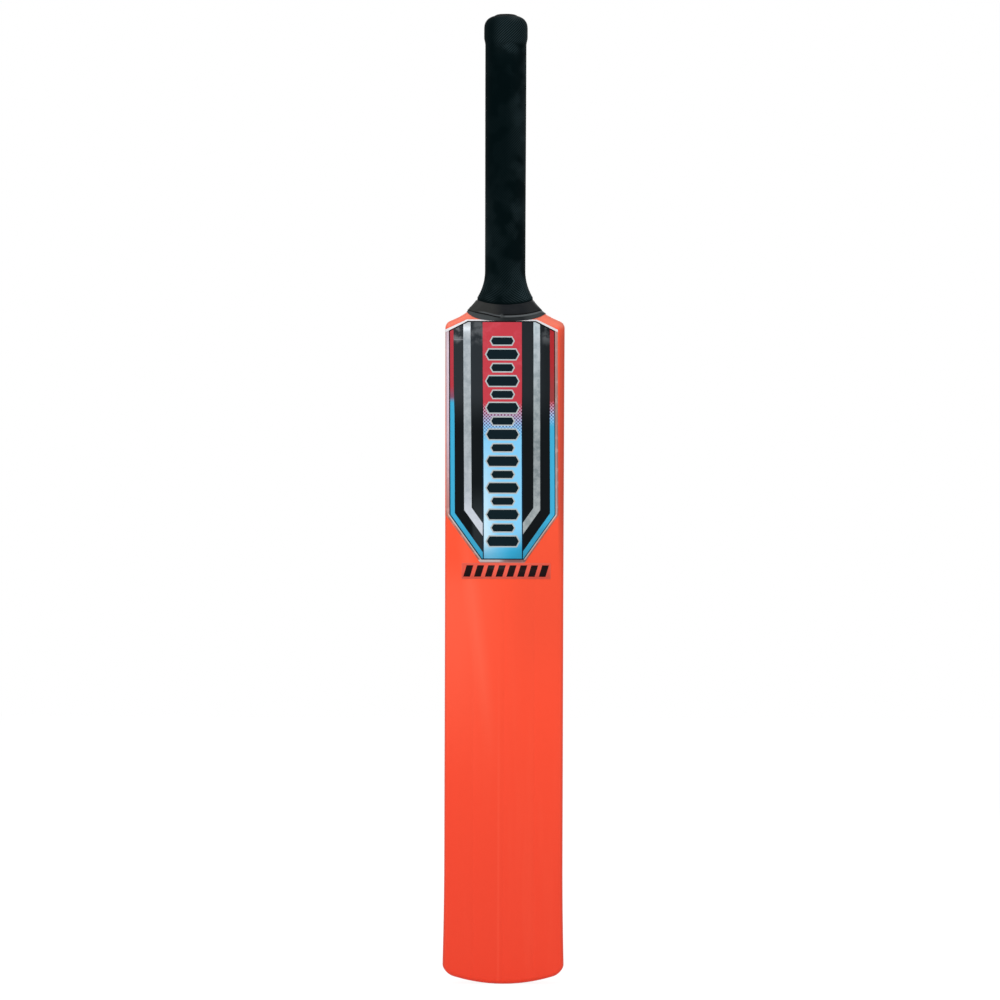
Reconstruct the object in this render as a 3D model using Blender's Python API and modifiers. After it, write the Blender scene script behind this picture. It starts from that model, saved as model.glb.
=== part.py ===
"""Moulded plastic cricket bat, standing on its toe with its hitting face towards -Y.

Two moulded shells meet on a seam through the handle's axis and hold a wooden core. A plug closes the
handle, a rubber grip is stretched over it, two turns of tape bind the grip to the shoulders, and two
labels lie on the face. Sizes are in metres, heights run from the toe, and depths from the handle's axis.
"""

import math

import bmesh
import bpy
from mathutils import Vector

# Blade outline, seen from the front
TOE_WIDTH = 0.1078
WAIST_WIDTH = 0.1054
SHOULDER_WIDTH = 0.1063
WAIST_HEIGHT = 0.244
TOE_SWELL_HEIGHT = 0.110
TOE_ARC_RADIUS = 0.150
TOE_CORNER_RADIUS = 0.0095
BLADE_SIDE_HEIGHT = 0.5836
SHOULDER_CORNER_RADIUS = 0.0069
SHOULDER_SLOPE = math.radians(23.7)

# Neck and handle of the shells
NECK_RADIUS = 0.0470
HANDLE_RADIUS = 0.016
HANDLE_LENGTH = 0.2207

# Blade thickness behind the handle's axis; the hitting face is tangent to the front of the handle
REAR_EDGE_DEPTH = 0.0085
EDGE_RADIUS = 0.0040
SPINE_AT_TOE = 0.0130
SPINE_AT_SWELL = 0.0240
SPINE_AT_SHOULDER = 0.0180
SWELL_HEIGHT = 0.200
RIDGE_SHARPNESS = 0.35
FLANK_HOLLOW = 1.12

# Shell walls, ribs and seam
WALL = 0.003
RIB_THICKNESS = 0.002
RIB_PITCH = 0.075
SIDE_RIB_OFFSET = 0.027
SEAM_GAP = 0.0003
CLEARANCE = 0.0003

# Pins on the rear shell and their sockets in the front shell
PIN_RADIUS = 0.002
PIN_LENGTH = 0.005
SOCKET_WALL = 0.0022
PIN_PITCHES = (0.5, 2.5, 4.5)

# Wooden core of the handle
CORE_RADIUS = 0.0125
CORE_SEAT_RIB = 6
CORE_SEAT_DEPTH = 0.0005
CORE_CHAMFER = 0.0015

# Plug in the end of the handle
PLUG_STUB_LENGTH = 0.012
PLUG_STUB_GAP = 0.0004
PLUG_STUB_EDGE = 0.0010
PLUG_HEAD_THICKNESS = 0.0040
PLUG_HEAD_CHAMFER = 0.0032
PLUG_BOSS_RADIUS = 0.0100
PLUG_BOSS_HEIGHT = 0.0040
PLUG_FLAT_RADIUS = 0.0060
PLUG_CROWN = 0.0012

# Rubber grip
GRIP_WALL = 0.0017
GRIP_WALL_TOP = 0.0020
GRIP_WALL_HEM = 0.0006
HEM_LENGTH = 0.0030
COLLAR_SWELL = 0.0011
COLLAR_LENGTH = 0.0261
COLLAR_RISE = 0.0070
LIP_THICKNESS = 0.0022
DOME_HEIGHT = 0.0131
DOME_FULLNESS = 3.0
DOME_ROUNDNESS = 0.4

# Binding tape; each edge dips by its sag from the sides to the middle of the face
TAPE_THICKNESS = 0.00035
UPPER_TAPE_TOP = 0.0169
UPPER_TAPE_BOTTOM = 0.0080
UPPER_TAPE_SAG = 0.0045
UPPER_TAPE_TOP_SAG = 0.0041
LOWER_TAPE_BOTTOM = 0.0054
LOWER_TAPE_SAG = 0.0069

# Labels on the hitting face
LABEL_THICKNESS = 0.0002
LABEL_MARGIN = 0.0004
FACE_LABEL_HEIGHT = 0.2150
FACE_LABEL_WIDTH = 0.0966
FACE_LABEL_TOP_WIDTH = 0.0605
FACE_LABEL_BOTTOM_WIDTH = 0.0405
FACE_LABEL_TOP_CHAMFER = 0.0078
FACE_LABEL_BOTTOM_CHAMFER = 0.0405
FACE_LABEL_SHIFT = -0.0012
LOWER_LABEL_WIDTH = 0.0795
LOWER_LABEL_HEIGHT = 0.0146
LOWER_LABEL_DROP = 0.0010
LOWER_LABEL_SHIFT = 0.0022

# Mesh fineness
FLAT_STEPS = 3
FLANK_STEPS = 5
EDGE_STEPS = 4
WALL_STEPS = 2
TURNED_STEPS = 40
CREST_CROWDING = 1.2  # draws the points of the back towards its ridge
TOE_CROWDING = 1.3  # draws the blade's stations towards the toe
SHARP_ANGLE = math.radians(35)
SAME_POINT = 0.00005

# Derived sizes
BORE_RADIUS = HANDLE_RADIUS - WALL
RIB_ROOT = 0.6 * WALL  # depth that the ribs run into the shells
SHOULDER_HALF = SHOULDER_WIDTH / 2
SHOULDER_TURN = min(
    math.pi / 2 - SHOULDER_SLOPE,
    math.acos(1 - (SHOULDER_HALF - HANDLE_RADIUS) / (NECK_RADIUS + SHOULDER_CORNER_RADIUS)),
)
CORNER_TOP = BLADE_SIDE_HEIGHT + SHOULDER_CORNER_RADIUS * math.sin(SHOULDER_TURN)
CORNER_X = SHOULDER_HALF - SHOULDER_CORNER_RADIUS * (1 - math.cos(SHOULDER_TURN))
FLARE_X = HANDLE_RADIUS + NECK_RADIUS * (1 - math.cos(SHOULDER_TURN))
FLARE_BOTTOM = CORNER_TOP + (CORNER_X - FLARE_X) / math.tan(SHOULDER_TURN)
NECK_TOP = FLARE_BOTTOM + NECK_RADIUS * math.sin(SHOULDER_TURN)
HANDLE_TOP = NECK_TOP + HANDLE_LENGTH
PLUG_HEAD_TOP = HANDLE_TOP + CLEARANCE + PLUG_HEAD_THICKNESS
BUTT_TOP = PLUG_HEAD_TOP + PLUG_BOSS_HEIGHT
CORE_TOP = HANDLE_TOP - PLUG_STUB_LENGTH - CLEARANCE
CORE_SEAT = CORE_SEAT_RIB * RIB_PITCH + RIB_THICKNESS / 2 - CORE_SEAT_DEPTH
COLLAR_RADIUS = HANDLE_RADIUS + CLEARANCE + GRIP_WALL_TOP + COLLAR_SWELL
LIP_TOP = PLUG_HEAD_TOP + CLEARANCE + LIP_THICKNESS
HEM_TOP = FLARE_BOTTOM + UPPER_TAPE_TOP
HEM_BOTTOM = FLARE_BOTTOM + UPPER_TAPE_BOTTOM + CLEARANCE
FACE_LABEL_TOP = FLARE_BOTTOM + LOWER_TAPE_BOTTOM - LOWER_TAPE_SAG - LABEL_MARGIN
AXIS_Y = (COLLAR_RADIUS - SPINE_AT_SWELL) / 2  # puts the middle of the bat's depth at y = 0


def smooth(value, low, high):
    """Ease from 0 at low to 1 at high."""
    t = min(1.0, max(0.0, (value - low) / (high - low)))
    return t * t * (3 - 2 * t)


def toe_bow(x):
    """Rise of the toe's arc at a distance x from the centre line."""
    return TOE_ARC_RADIUS - math.sqrt(TOE_ARC_RADIUS**2 - x**2)


TOE_CORNER_TOP = TOE_CORNER_RADIUS + toe_bow(TOE_WIDTH / 2)
BOW_FADE = 5 * TOE_CORNER_RADIUS


def height(station, x):
    """Height of a point on a station; stations near the toe follow its arc."""
    return station + toe_bow(x) * max(0.0, 1 - station / BOW_FADE)


def side_half_width(z):
    """Half the blade's width along its sides, which swell a little at the toe and the shoulders."""
    toe = 1 - min(1.0, max(0.0, (z - TOE_CORNER_TOP) / (TOE_SWELL_HEIGHT - TOE_CORNER_TOP)))
    top = min(1.0, max(0.0, (z - WAIST_HEIGHT) / (BLADE_SIDE_HEIGHT - WAIST_HEIGHT)))
    return (WAIST_WIDTH + (TOE_WIDTH - WAIST_WIDTH) * toe**2 + (SHOULDER_WIDTH - WAIST_WIDTH) * top**2) / 2


def half_width(station, inset=0.0):
    """Half the width of the shells' outline at a station, the outline being moved in by inset."""
    if station < TOE_CORNER_RADIUS:
        flat = TOE_WIDTH / 2 - TOE_CORNER_RADIUS
        if station < inset:
            return flat - (inset - station)
        return flat + math.sqrt((TOE_CORNER_RADIUS - inset) ** 2 - (TOE_CORNER_RADIUS - station) ** 2)
    if station <= BLADE_SIDE_HEIGHT:
        return side_half_width(height(station, TOE_WIDTH / 2)) - inset
    corner = SHOULDER_CORNER_RADIUS - inset
    corner_top = BLADE_SIDE_HEIGHT + corner * math.sin(SHOULDER_TURN)
    corner_centre = SHOULDER_HALF - SHOULDER_CORNER_RADIUS
    if station <= corner_top:
        return corner_centre + math.sqrt(corner**2 - (station - BLADE_SIDE_HEIGHT) ** 2)
    neck = NECK_RADIUS + inset
    if station <= NECK_TOP - neck * math.sin(SHOULDER_TURN):
        slope = math.tan(SHOULDER_TURN)
        return corner_centre + corner * math.cos(SHOULDER_TURN) - (station - corner_top) * slope
    if station <= NECK_TOP:
        return HANDLE_RADIUS + NECK_RADIUS - math.sqrt(neck**2 - (NECK_TOP - station) ** 2)
    return HANDLE_RADIUS - inset


def spine_depth(station):
    """Depth of the ridge down the back of the blade."""
    if station < SWELL_HEIGHT:
        return SPINE_AT_TOE + (SPINE_AT_SWELL - SPINE_AT_TOE) * smooth(station, 0, SWELL_HEIGHT)
    fall = smooth(station, SWELL_HEIGHT, BLADE_SIDE_HEIGHT)
    return SPINE_AT_SWELL + (SPINE_AT_SHOULDER - SPINE_AT_SWELL) * fall


def ridge(share):
    """Height of the back between its edge (share 1) and its ridge (share 0): a rounded crest, hollow flanks."""
    crest = math.hypot(1, RIDGE_SHARPNESS)
    return max(0.0, (crest - math.hypot(share, RIDGE_SHARPNESS)) / (crest - RIDGE_SHARPNESS)) ** FLANK_HOLLOW


def roundness(station):
    """How far a section has turned from the blade's profile (0) to the handle's circle (1)."""
    return smooth(station, CORNER_TOP, NECK_TOP)


def edge_drop(radius, inset):
    """Fall of a rounded edge below its flat, at a distance inset from the outline."""
    return radius - math.sqrt(radius**2 - (radius - inset) ** 2)


def quarter(station, grow, rear):
    """(x, y) points of one quarter of a section grown by grow, from the centre line round to the seam."""
    wide = half_width(station, -grow)
    radius = EDGE_RADIUS + grow
    edge = (REAR_EDGE_DEPTH if rear else HANDLE_RADIUS) + grow
    crest = (spine_depth(station) if rear else HANDLE_RADIUS) + grow
    steps = FLANK_STEPS if rear else FLAT_STEPS
    blade = []
    for k in range(steps + 1):
        share = (k / steps) ** (CREST_CROWDING if rear else 1.0)
        depth = edge + (crest - edge) * ridge(share) - edge_drop(radius, min(radius, station))
        blade.append((half_width(station, EDGE_RADIUS) * share, depth))
    for k in range(1, EDGE_STEPS + 1):
        inset = radius * (1 - math.sin(math.pi / 2 * k / EDGE_STEPS))
        blade.append((half_width(station, inset - grow), edge - edge_drop(radius, min(inset, station))))
    for k in range(1, WALL_STEPS + 1):
        blade.append((wide, (edge - radius) * (1 - k / WALL_STEPS)))
    blend = roundness(station)
    points = []
    for k, (x, y) in enumerate(blade):
        turn = math.pi / 2 * k / (len(blade) - 1)
        round_x, round_y = wide * math.sin(turn), (HANDLE_RADIUS + grow) * math.cos(turn)
        depth = y + (round_y - y) * blend
        points.append((x + (round_x - x) * blend, depth if rear else -depth))
    return points


def half_section(station, grow):
    """(x, y) points of half a section, from the middle of the face round the side to the ridge."""
    return quarter(station, grow, False) + quarter(station, grow, True)[-2::-1]


def neck_stations(steps):
    """Stations up the neck, evenly spaced round its arc."""
    for k in range(steps + 1):
        yield NECK_TOP - NECK_RADIUS * math.sin(SHOULDER_TURN * (1 - k / steps))


def shell_stations():
    """Stations of a shell, from the toe to the end of the handle."""
    stations = [EDGE_RADIUS * (1 - math.cos(math.pi / 2 * k / EDGE_STEPS)) for k in range(EDGE_STEPS + 1)]
    for k in (1, 2, 3):
        stations.append(EDGE_RADIUS + (TOE_CORNER_RADIUS - EDGE_RADIUS) * k / 3)
    blade_steps = 9
    for k in range(1, blade_steps + 1):
        share = (k / blade_steps) ** TOE_CROWDING
        stations.append(TOE_CORNER_RADIUS + (BLADE_SIDE_HEIGHT - TOE_CORNER_RADIUS) * share)
    for k in range(1, 5):
        turn = SHOULDER_TURN * k / 4
        stations.append(BLADE_SIDE_HEIGHT + SHOULDER_CORNER_RADIUS * math.sin(turn))
    stations += neck_stations(9)
    stations.append(HANDLE_TOP)
    return stations


def finish(name, colour, roughness, metallic=0.0):
    """A plain Principled material."""
    material = bpy.data.materials.new(name)
    material.use_nodes = True
    shader = material.node_tree.nodes["Principled BSDF"]
    shader.inputs["Base Color"].default_value = (*colour, 1)
    shader.inputs["Roughness"].default_value = roughness
    shader.inputs["Metallic"].default_value = metallic
    return material


def add_object(name, data, collection, material=None):
    """Link a mesh or curve as an object of the bat, carried by the handle's axis."""
    obj = bpy.data.objects.new(name, data)
    collection.objects.link(obj)
    obj.parent = bpy.data.objects["bat_axis"]
    if material:
        data.materials.append(material)
    return obj


def mesh_from(name, bm):
    """Turn a finished bmesh into a smooth-shaded mesh."""
    mesh = bpy.data.meshes.new(name)
    bm.to_mesh(mesh)
    bm.free()
    mesh.shade_smooth()
    mesh.set_sharp_from_angle(angle=SHARP_ANGLE)
    return mesh


def loft(bm, rows, closed=False):
    """Skin rows of equally many points with quads; a closed loft joins the last row to the first."""
    made = [[bm.verts.new(point) for point in row] for row in rows]
    following = made[1:] + made[:1] if closed else made[1:]
    for low, high in zip(made, following):
        for k in range(len(low) - 1):
            bm.faces.new((low[k], low[k + 1], high[k + 1], high[k]))
    return made


def mirrored(obj):
    """Complete a half that is open at the centre plane."""
    mirror = obj.modifiers.new("Mirror", "MIRROR")
    mirror.merge_threshold = SAME_POINT
    mirror.use_clip = True


def cut(obj, cutter, operation="DIFFERENCE"):
    """Boolean with one object or with every object of a collection."""
    boolean = obj.modifiers.new(cutter.name, "BOOLEAN")
    boolean.operation = operation
    boolean.solver = "EXACT"
    if isinstance(cutter, bpy.types.Collection):
        boolean.operand_type = "COLLECTION"
        boolean.collection = cutter
    else:
        boolean.object = cutter


def as_cutter(obj):
    """Keep a helper out of the model."""
    obj.hide_render = True
    obj.display_type = "WIRE"
    return obj


def prism(name, outline, lift, collection):
    """Closed solid swept from a flat outline of 3D points along the vector lift."""
    bm = bmesh.new()
    face = bm.faces.new([bm.verts.new(point) for point in outline])
    swept = bmesh.ops.extrude_face_region(bm, geom=[face])["geom"]
    bmesh.ops.translate(bm, vec=lift, verts=[v for v in swept if isinstance(v, bmesh.types.BMVert)])
    bmesh.ops.recalc_face_normals(bm, faces=bm.faces)
    return as_cutter(add_object(name, mesh_from(name, bm), collection))


def upright_cylinder(name, radius, bottom, top, collection):
    """Closed cylinder round the handle's axis."""
    bm = bmesh.new()
    bmesh.ops.create_cone(
        bm, cap_ends=True, segments=TURNED_STEPS, radius1=radius, radius2=radius, depth=top - bottom
    )
    bmesh.ops.translate(bm, vec=(0, 0, (top + bottom) / 2), verts=bm.verts)
    return add_object(name, mesh_from(name, bm), collection)


def cross_cylinder(name, radius, front, back, z, collection):
    """Closed cylinder along Y on the centre line, from depth front to depth back."""
    bm = bmesh.new()
    bmesh.ops.create_cone(
        bm, cap_ends=True, segments=16, radius1=radius, radius2=radius, depth=back - front
    )
    obj = as_cutter(add_object(name, mesh_from(name, bm), collection))
    obj.location = (0, (front + back) / 2, z)
    obj.rotation_euler.x = math.pi / 2
    return obj


def transverse_ribs(collection):
    """Ribs across the blade, each the outline of its section sunk half a wall into the shells."""
    z = RIB_PITCH
    number = 1
    while z < BLADE_SIDE_HEIGHT - RIB_PITCH / 2:
        half = half_section(z, -WALL / 2)
        ring = half + [(-x, y) for x, y in half[-2:0:-1]]
        outline = [(x, y, z - RIB_THICKNESS / 2) for x, y in ring]
        prism(f"rib_across_{number}", outline, (0, 0, RIB_THICKNESS), collection)
        z += RIB_PITCH
        number += 1


def back_depth(station, x):
    """Depth of the blade's back at a distance x from the centre line."""
    share = abs(x) / half_width(station, EDGE_RADIUS)
    return REAR_EDGE_DEPTH + (spine_depth(station) - REAR_EDGE_DEPTH) * ridge(share)


def long_ribs(collection):
    """Ribs down the blade, on its centre line and on both sides of it."""
    for name, x in (("middle", 0.0), ("left", -SIDE_RIB_OFFSET), ("right", SIDE_RIB_OFFSET)):
        low, high = toe_bow(x) + WALL / 2, BLADE_SIDE_HEIGHT - RIB_PITCH / 3
        face = -(HANDLE_RADIUS - RIB_ROOT)
        outline = [(x - RIB_THICKNESS / 2, face, low), (x - RIB_THICKNESS / 2, face, high)]
        steps = 10
        for k in range(steps + 1):
            z = high + (low - high) * k / steps
            outline.append((x - RIB_THICKNESS / 2, back_depth(z, x) - RIB_ROOT, z))
        prism(f"rib_down_{name}", outline, (RIB_THICKNESS, 0, 0), collection)


def shell_skin(name, rear, collection, material):
    """Half-shell: the outer skin of one side of the seam, closed round the toe, given its wall inwards."""
    side = 1 if rear else -1
    past_seam = -side * WALL
    rows = []
    for station in shell_stations():
        points = quarter(station, 0, rear)
        points.append((points[-1][0], past_seam))
        rows.append([(x, y, height(station, x)) for x, y in points])
    bm = bmesh.new()
    made = loft(bm, rows)
    toe = made[0]
    last = (FLANK_STEPS if rear else FLAT_STEPS) + EDGE_STEPS - 1
    seam = [bm.verts.new((v.co.x, past_seam, v.co.z)) for v in toe[: last + 1]]
    for k in range(last):
        bm.faces.new((toe[k], toe[k + 1], seam[k + 1], seam[k]))
    bm.faces.new([*toe[last:], seam[last]])
    bmesh.ops.recalc_face_normals(bm, faces=bm.faces)
    toward = sum((f.normal.y * f.calc_area() for f in bm.faces), 0.0)
    if toward * side < 0:
        bmesh.ops.reverse_faces(bm, faces=bm.faces)
    shell = add_object(name, mesh_from(name, bm), collection, material)
    mirrored(shell)
    solidify = shell.modifiers.new("Wall", "SOLIDIFY")
    solidify.thickness = WALL
    solidify.offset = -1
    solidify.use_even_offset = True
    solidify.use_quality_normals = True
    shell.modifiers.new("Facets", "TRIANGULATE")
    return shell


def seam_block(name, front, back, collection):
    """Block that trims a shell to the seam."""
    bm = bmesh.new()
    bmesh.ops.create_cube(bm, size=1)
    reach = BUTT_TOP + TOE_WIDTH
    bmesh.ops.scale(bm, vec=(2 * TOE_WIDTH, back - front, reach), verts=bm.verts)
    bmesh.ops.translate(bm, vec=(0, (front + back) / 2, BUTT_TOP / 2), verts=bm.verts)
    return as_cutter(add_object(name, mesh_from(name, bm), collection))


def offset_outline(points, distance):
    """Move each side of a flat counter-clockwise outline outwards, keeping the corners mitred."""
    moved = []
    for k, corner in enumerate(points):
        before = (Vector(corner) - Vector(points[k - 1])).normalized()
        after = (Vector(points[(k + 1) % len(points)]) - Vector(corner)).normalized()
        out_before, out_after = Vector((before.y, -before.x)), Vector((after.y, -after.x))
        mitre = (out_before + out_after) / (1 + out_before.dot(out_after))
        moved.append(tuple(Vector(corner) + mitre * distance))
    return moved


def face_label_outline():
    """(x, z) corners of the tall label, counter-clockwise from its bottom left."""
    top, bottom = FACE_LABEL_TOP, FACE_LABEL_TOP - FACE_LABEL_HEIGHT
    right = [
        (FACE_LABEL_BOTTOM_WIDTH / 2, bottom),
        (FACE_LABEL_WIDTH / 2, bottom + FACE_LABEL_BOTTOM_CHAMFER),
        (FACE_LABEL_WIDTH / 2, top - FACE_LABEL_TOP_CHAMFER),
        (FACE_LABEL_TOP_WIDTH / 2, top),
    ]
    both = right + [(-x, z) for x, z in reversed(right)]
    return [(x + FACE_LABEL_SHIFT, z) for x, z in both]


def lower_label_outline():
    """(x, z) corners of the small label, counter-clockwise."""
    top = FACE_LABEL_TOP - FACE_LABEL_HEIGHT - LOWER_LABEL_DROP
    bottom = top - LOWER_LABEL_HEIGHT
    left, right = LOWER_LABEL_SHIFT - LOWER_LABEL_WIDTH / 2, LOWER_LABEL_SHIFT + LOWER_LABEL_WIDTH / 2
    return [(left, bottom), (right, bottom), (right, top), (left, top)]


def label(name, outline, collection, material):
    """Flat label just proud of the face, from a filled outline."""
    curve = bpy.data.curves.new(name, "CURVE")
    curve.dimensions = "2D"
    curve.fill_mode = "BOTH"
    curve.extrude = LABEL_THICKNESS / 2
    spline = curve.splines.new("POLY")
    spline.points.add(len(outline) - 1)
    for point, (x, z) in zip(spline.points, outline):
        point.co = (x, z, 0, 1)
    spline.use_cyclic_u = True
    obj = add_object(name, curve, collection, material)
    obj.rotation_euler.x = math.pi / 2
    obj.location.y = -HANDLE_RADIUS - LABEL_THICKNESS / 2
    return obj


def label_seat(name, outline, collection):
    """Shallow pocket in the face that a label lies over."""
    grown = offset_outline(outline, LABEL_MARGIN)
    floor = -HANDLE_RADIUS + CLEARANCE
    return prism(name, [(x, floor, z) for x, z in grown], (0, -2 * CLEARANCE, 0), collection)


def build_shells(parts, helpers, material):
    """Front and rear shells with their ribs, core channel, pins, sockets and label seats."""
    ribs = bpy.data.collections.new("ribs")
    sockets = bpy.data.collections.new("sockets")
    socket_holes = bpy.data.collections.new("socket_holes")
    pins = bpy.data.collections.new("pins")
    for group in (ribs, sockets, socket_holes, pins):
        helpers.children.link(group)
    transverse_ribs(ribs)
    long_ribs(ribs)
    hole_radius, hole_depth = PIN_RADIUS + CLEARANCE, PIN_LENGTH + CLEARANCE
    for number, pitches in enumerate(PIN_PITCHES, 1):
        z = pitches * RIB_PITCH
        half_wall = HANDLE_RADIUS - WALL / 2
        cross_cylinder(f"socket_{number}", hole_radius + SOCKET_WALL, -half_wall, WALL, z, sockets)
        cross_cylinder(f"socket_hole_{number}", hole_radius, -hole_depth, WALL, z, socket_holes)
        root = spine_depth(z) - WALL / 2
        cross_cylinder(f"pin_{number}", PIN_RADIUS, -PIN_LENGTH, root, z, pins)
    channel = as_cutter(
        upright_cylinder("core_channel", CORE_RADIUS + CLEARANCE, CORE_SEAT, CORNER_TOP, helpers)
    )
    reach = SPINE_AT_SWELL + COLLAR_RADIUS
    front_trim = seam_block("front_trim", -SEAM_GAP / 2, reach, helpers)
    rear_trim = seam_block("rear_trim", -reach, SEAM_GAP / 2, helpers)

    front = shell_skin("front_shell", False, parts, material)
    cut(front, ribs, "UNION")
    cut(front, sockets, "UNION")
    cut(front, channel)
    cut(front, socket_holes)
    cut(front, front_trim)
    cut(front, label_seat("face_label_seat", face_label_outline(), helpers))
    cut(front, label_seat("lower_label_seat", lower_label_outline(), helpers))

    rear = shell_skin("rear_shell", True, parts, material)
    cut(rear, ribs, "UNION")
    cut(rear, channel)
    cut(rear, rear_trim)
    cut(rear, pins, "UNION")


def build_core(parts, material):
    """Wooden core, standing on a rib in the blade and reaching up the handle to the plug."""
    core = upright_cylinder("handle_core", CORE_RADIUS, CORE_SEAT + CLEARANCE, CORE_TOP, parts)
    core.data.materials.append(material)
    bevel = core.modifiers.new("Chamfer", "BEVEL")
    bevel.width = CORE_CHAMFER
    bevel.segments = 1
    bevel.limit_method = "ANGLE"
    bevel.angle_limit = math.radians(60)


def build_plug(parts, material):
    """Turned plug: a crowned boss that shows in the mouth of the grip, a head and a stub in the bore."""
    stub = BORE_RADIUS - PLUG_STUB_GAP
    stub_bottom = HANDLE_TOP - PLUG_STUB_LENGTH
    head_bottom = HANDLE_TOP + CLEARANCE
    profile = [
        (0, BUTT_TOP),
        (PLUG_FLAT_RADIUS, BUTT_TOP),
        ((PLUG_FLAT_RADIUS + PLUG_BOSS_RADIUS) / 2, BUTT_TOP - 0.4 * PLUG_CROWN),
        (PLUG_BOSS_RADIUS, BUTT_TOP - PLUG_CROWN),
        (PLUG_BOSS_RADIUS, PLUG_HEAD_TOP),
        (HANDLE_RADIUS - PLUG_HEAD_CHAMFER, PLUG_HEAD_TOP),
        (HANDLE_RADIUS, PLUG_HEAD_TOP - PLUG_HEAD_CHAMFER),
        (HANDLE_RADIUS, head_bottom),
        (stub, head_bottom),
        (stub, stub_bottom + PLUG_STUB_EDGE),
        (stub - PLUG_STUB_EDGE, stub_bottom),
        (0, stub_bottom),
    ]
    bm = bmesh.new()
    points = [bm.verts.new((x, 0, z)) for x, z in profile]
    for low, high in zip(points, points[1:]):
        bm.edges.new((low, high))
    plug = add_object("handle_plug", mesh_from("handle_plug", bm), parts, material)
    screw = plug.modifiers.new("Turn", "SCREW")
    screw.steps = screw.render_steps = TURNED_STEPS
    screw.use_merge_vertices = True
    screw.merge_threshold = SAME_POINT


def edge_height(side, sag, across):
    """Height of a tape or grip edge that dips by sag from the sides to the middle."""
    return side - sag * (1 - across * across)


def band_row(side, sag, grow):
    """Half row of points round the neck along such an edge, standing off the shells by grow."""
    row = []
    wide = half_width(side)
    for k, (x, _) in enumerate(half_section(side, 0)):
        z = edge_height(side, sag, min(1.0, x / wide))
        x, y = half_section(z, grow)[k]
        row.append((x, y, z))
    return row


def level_row(z, grow):
    """Half row of points at one height."""
    return [(x, y, z) for x, y in half_section(z, grow)]


def grip_wall(z):
    """Thickness of the rubber: thin at the hem, a little thicker towards the butt."""
    hem = smooth(z, HEM_TOP, HEM_TOP + HEM_LENGTH)
    top = smooth(z, NECK_TOP, HANDLE_TOP - COLLAR_LENGTH)
    return GRIP_WALL_HEM + (GRIP_WALL - GRIP_WALL_HEM) * hem + (GRIP_WALL_TOP - GRIP_WALL) * top


def neck_row(z, grow):
    """Half row of points round the neck, level at the handle and dipping more and more towards the hem."""
    return band_row(z, UPPER_TAPE_TOP_SAG * (1 - smooth(z, HEM_TOP, NECK_TOP)), grow)


def hem_rows(grow):
    """Half rows of the thin hem under the tape, from its lower edge up."""
    rows = []
    for k in range(3):
        share = k / 2
        side = HEM_BOTTOM + (HEM_TOP - HEM_BOTTOM) * share
        rows.append(band_row(side, UPPER_TAPE_SAG + (UPPER_TAPE_TOP_SAG - UPPER_TAPE_SAG) * share, grow))
    return rows


def grip_top_rows():
    """Outer rows of the thick collar and of the dome that folds over the plug as a lip."""
    mouth = PLUG_BOSS_RADIUS + CLEARANCE
    wall = CLEARANCE + GRIP_WALL_TOP
    collar_bottom = LIP_TOP - COLLAR_LENGTH
    rows = []
    for k in range(5):
        z = collar_bottom + COLLAR_RISE * k / 4
        rows.append(level_row(z, wall + COLLAR_SWELL * smooth(k / 4, 0, 1)))
    # a superellipse from the full collar to the mouth
    reach = (1 - (mouth / COLLAR_RADIUS) ** (1 / DOME_ROUNDNESS)) ** (1 / DOME_FULLNESS)
    steps = 7
    for k in range(steps + 1):
        share = math.sin(math.pi / 2 * k / steps)
        radius = COLLAR_RADIUS * (1 - (reach * share) ** DOME_FULLNESS) ** DOME_ROUNDNESS
        rows.append(level_row(LIP_TOP - DOME_HEIGHT * (1 - share), radius - HANDLE_RADIUS))
    return rows


def build_grip(parts, material):
    """Rubber sleeve over the neck and handle: outer rows up to the mouth, then inner rows back down."""
    full_wall = HEM_TOP + HEM_LENGTH
    neck = [full_wall] + [z for z in neck_stations(9) if z > full_wall + HEM_LENGTH / 2]
    middle = (NECK_TOP + HANDLE_TOP) / 2
    outer = hem_rows(CLEARANCE + GRIP_WALL_HEM)
    outer += [neck_row(z, CLEARANCE + grip_wall(z)) for z in neck]
    outer.append(level_row(middle, CLEARANCE + grip_wall(middle)))
    outer += grip_top_rows()
    under_lip = PLUG_HEAD_TOP + CLEARANCE
    inner = [
        level_row(under_lip, PLUG_BOSS_RADIUS + CLEARANCE - HANDLE_RADIUS),
        level_row(under_lip, CLEARANCE - PLUG_HEAD_CHAMFER),
        level_row(under_lip - PLUG_HEAD_CHAMFER, CLEARANCE),
        level_row(middle, CLEARANCE),
    ]
    inner += [neck_row(z, CLEARANCE) for z in reversed(neck)]
    inner += reversed(hem_rows(CLEARANCE))
    bm = bmesh.new()
    loft(bm, outer + inner, closed=True)
    bmesh.ops.recalc_face_normals(bm, faces=bm.faces)
    mirrored(add_object("rubber_grip", mesh_from("rubber_grip", bm), parts, material))


def tape(name, bottom, top, inner_grow, parts, material):
    """One turn of tape between two edges, each a (height at the sides, sag) pair."""
    steps = 3
    edges = [
        (bottom[0] + (top[0] - bottom[0]) * k / steps, bottom[1] + (top[1] - bottom[1]) * k / steps)
        for k in range(steps + 1)
    ]
    outer = [band_row(side, sag, inner_grow + TAPE_THICKNESS) for side, sag in edges]
    inner = [band_row(side, sag, inner_grow) for side, sag in reversed(edges)]
    bm = bmesh.new()
    loft(bm, outer + inner, closed=True)
    bmesh.ops.recalc_face_normals(bm, faces=bm.faces)
    mirrored(add_object(name, mesh_from(name, bm), parts, material))


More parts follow.
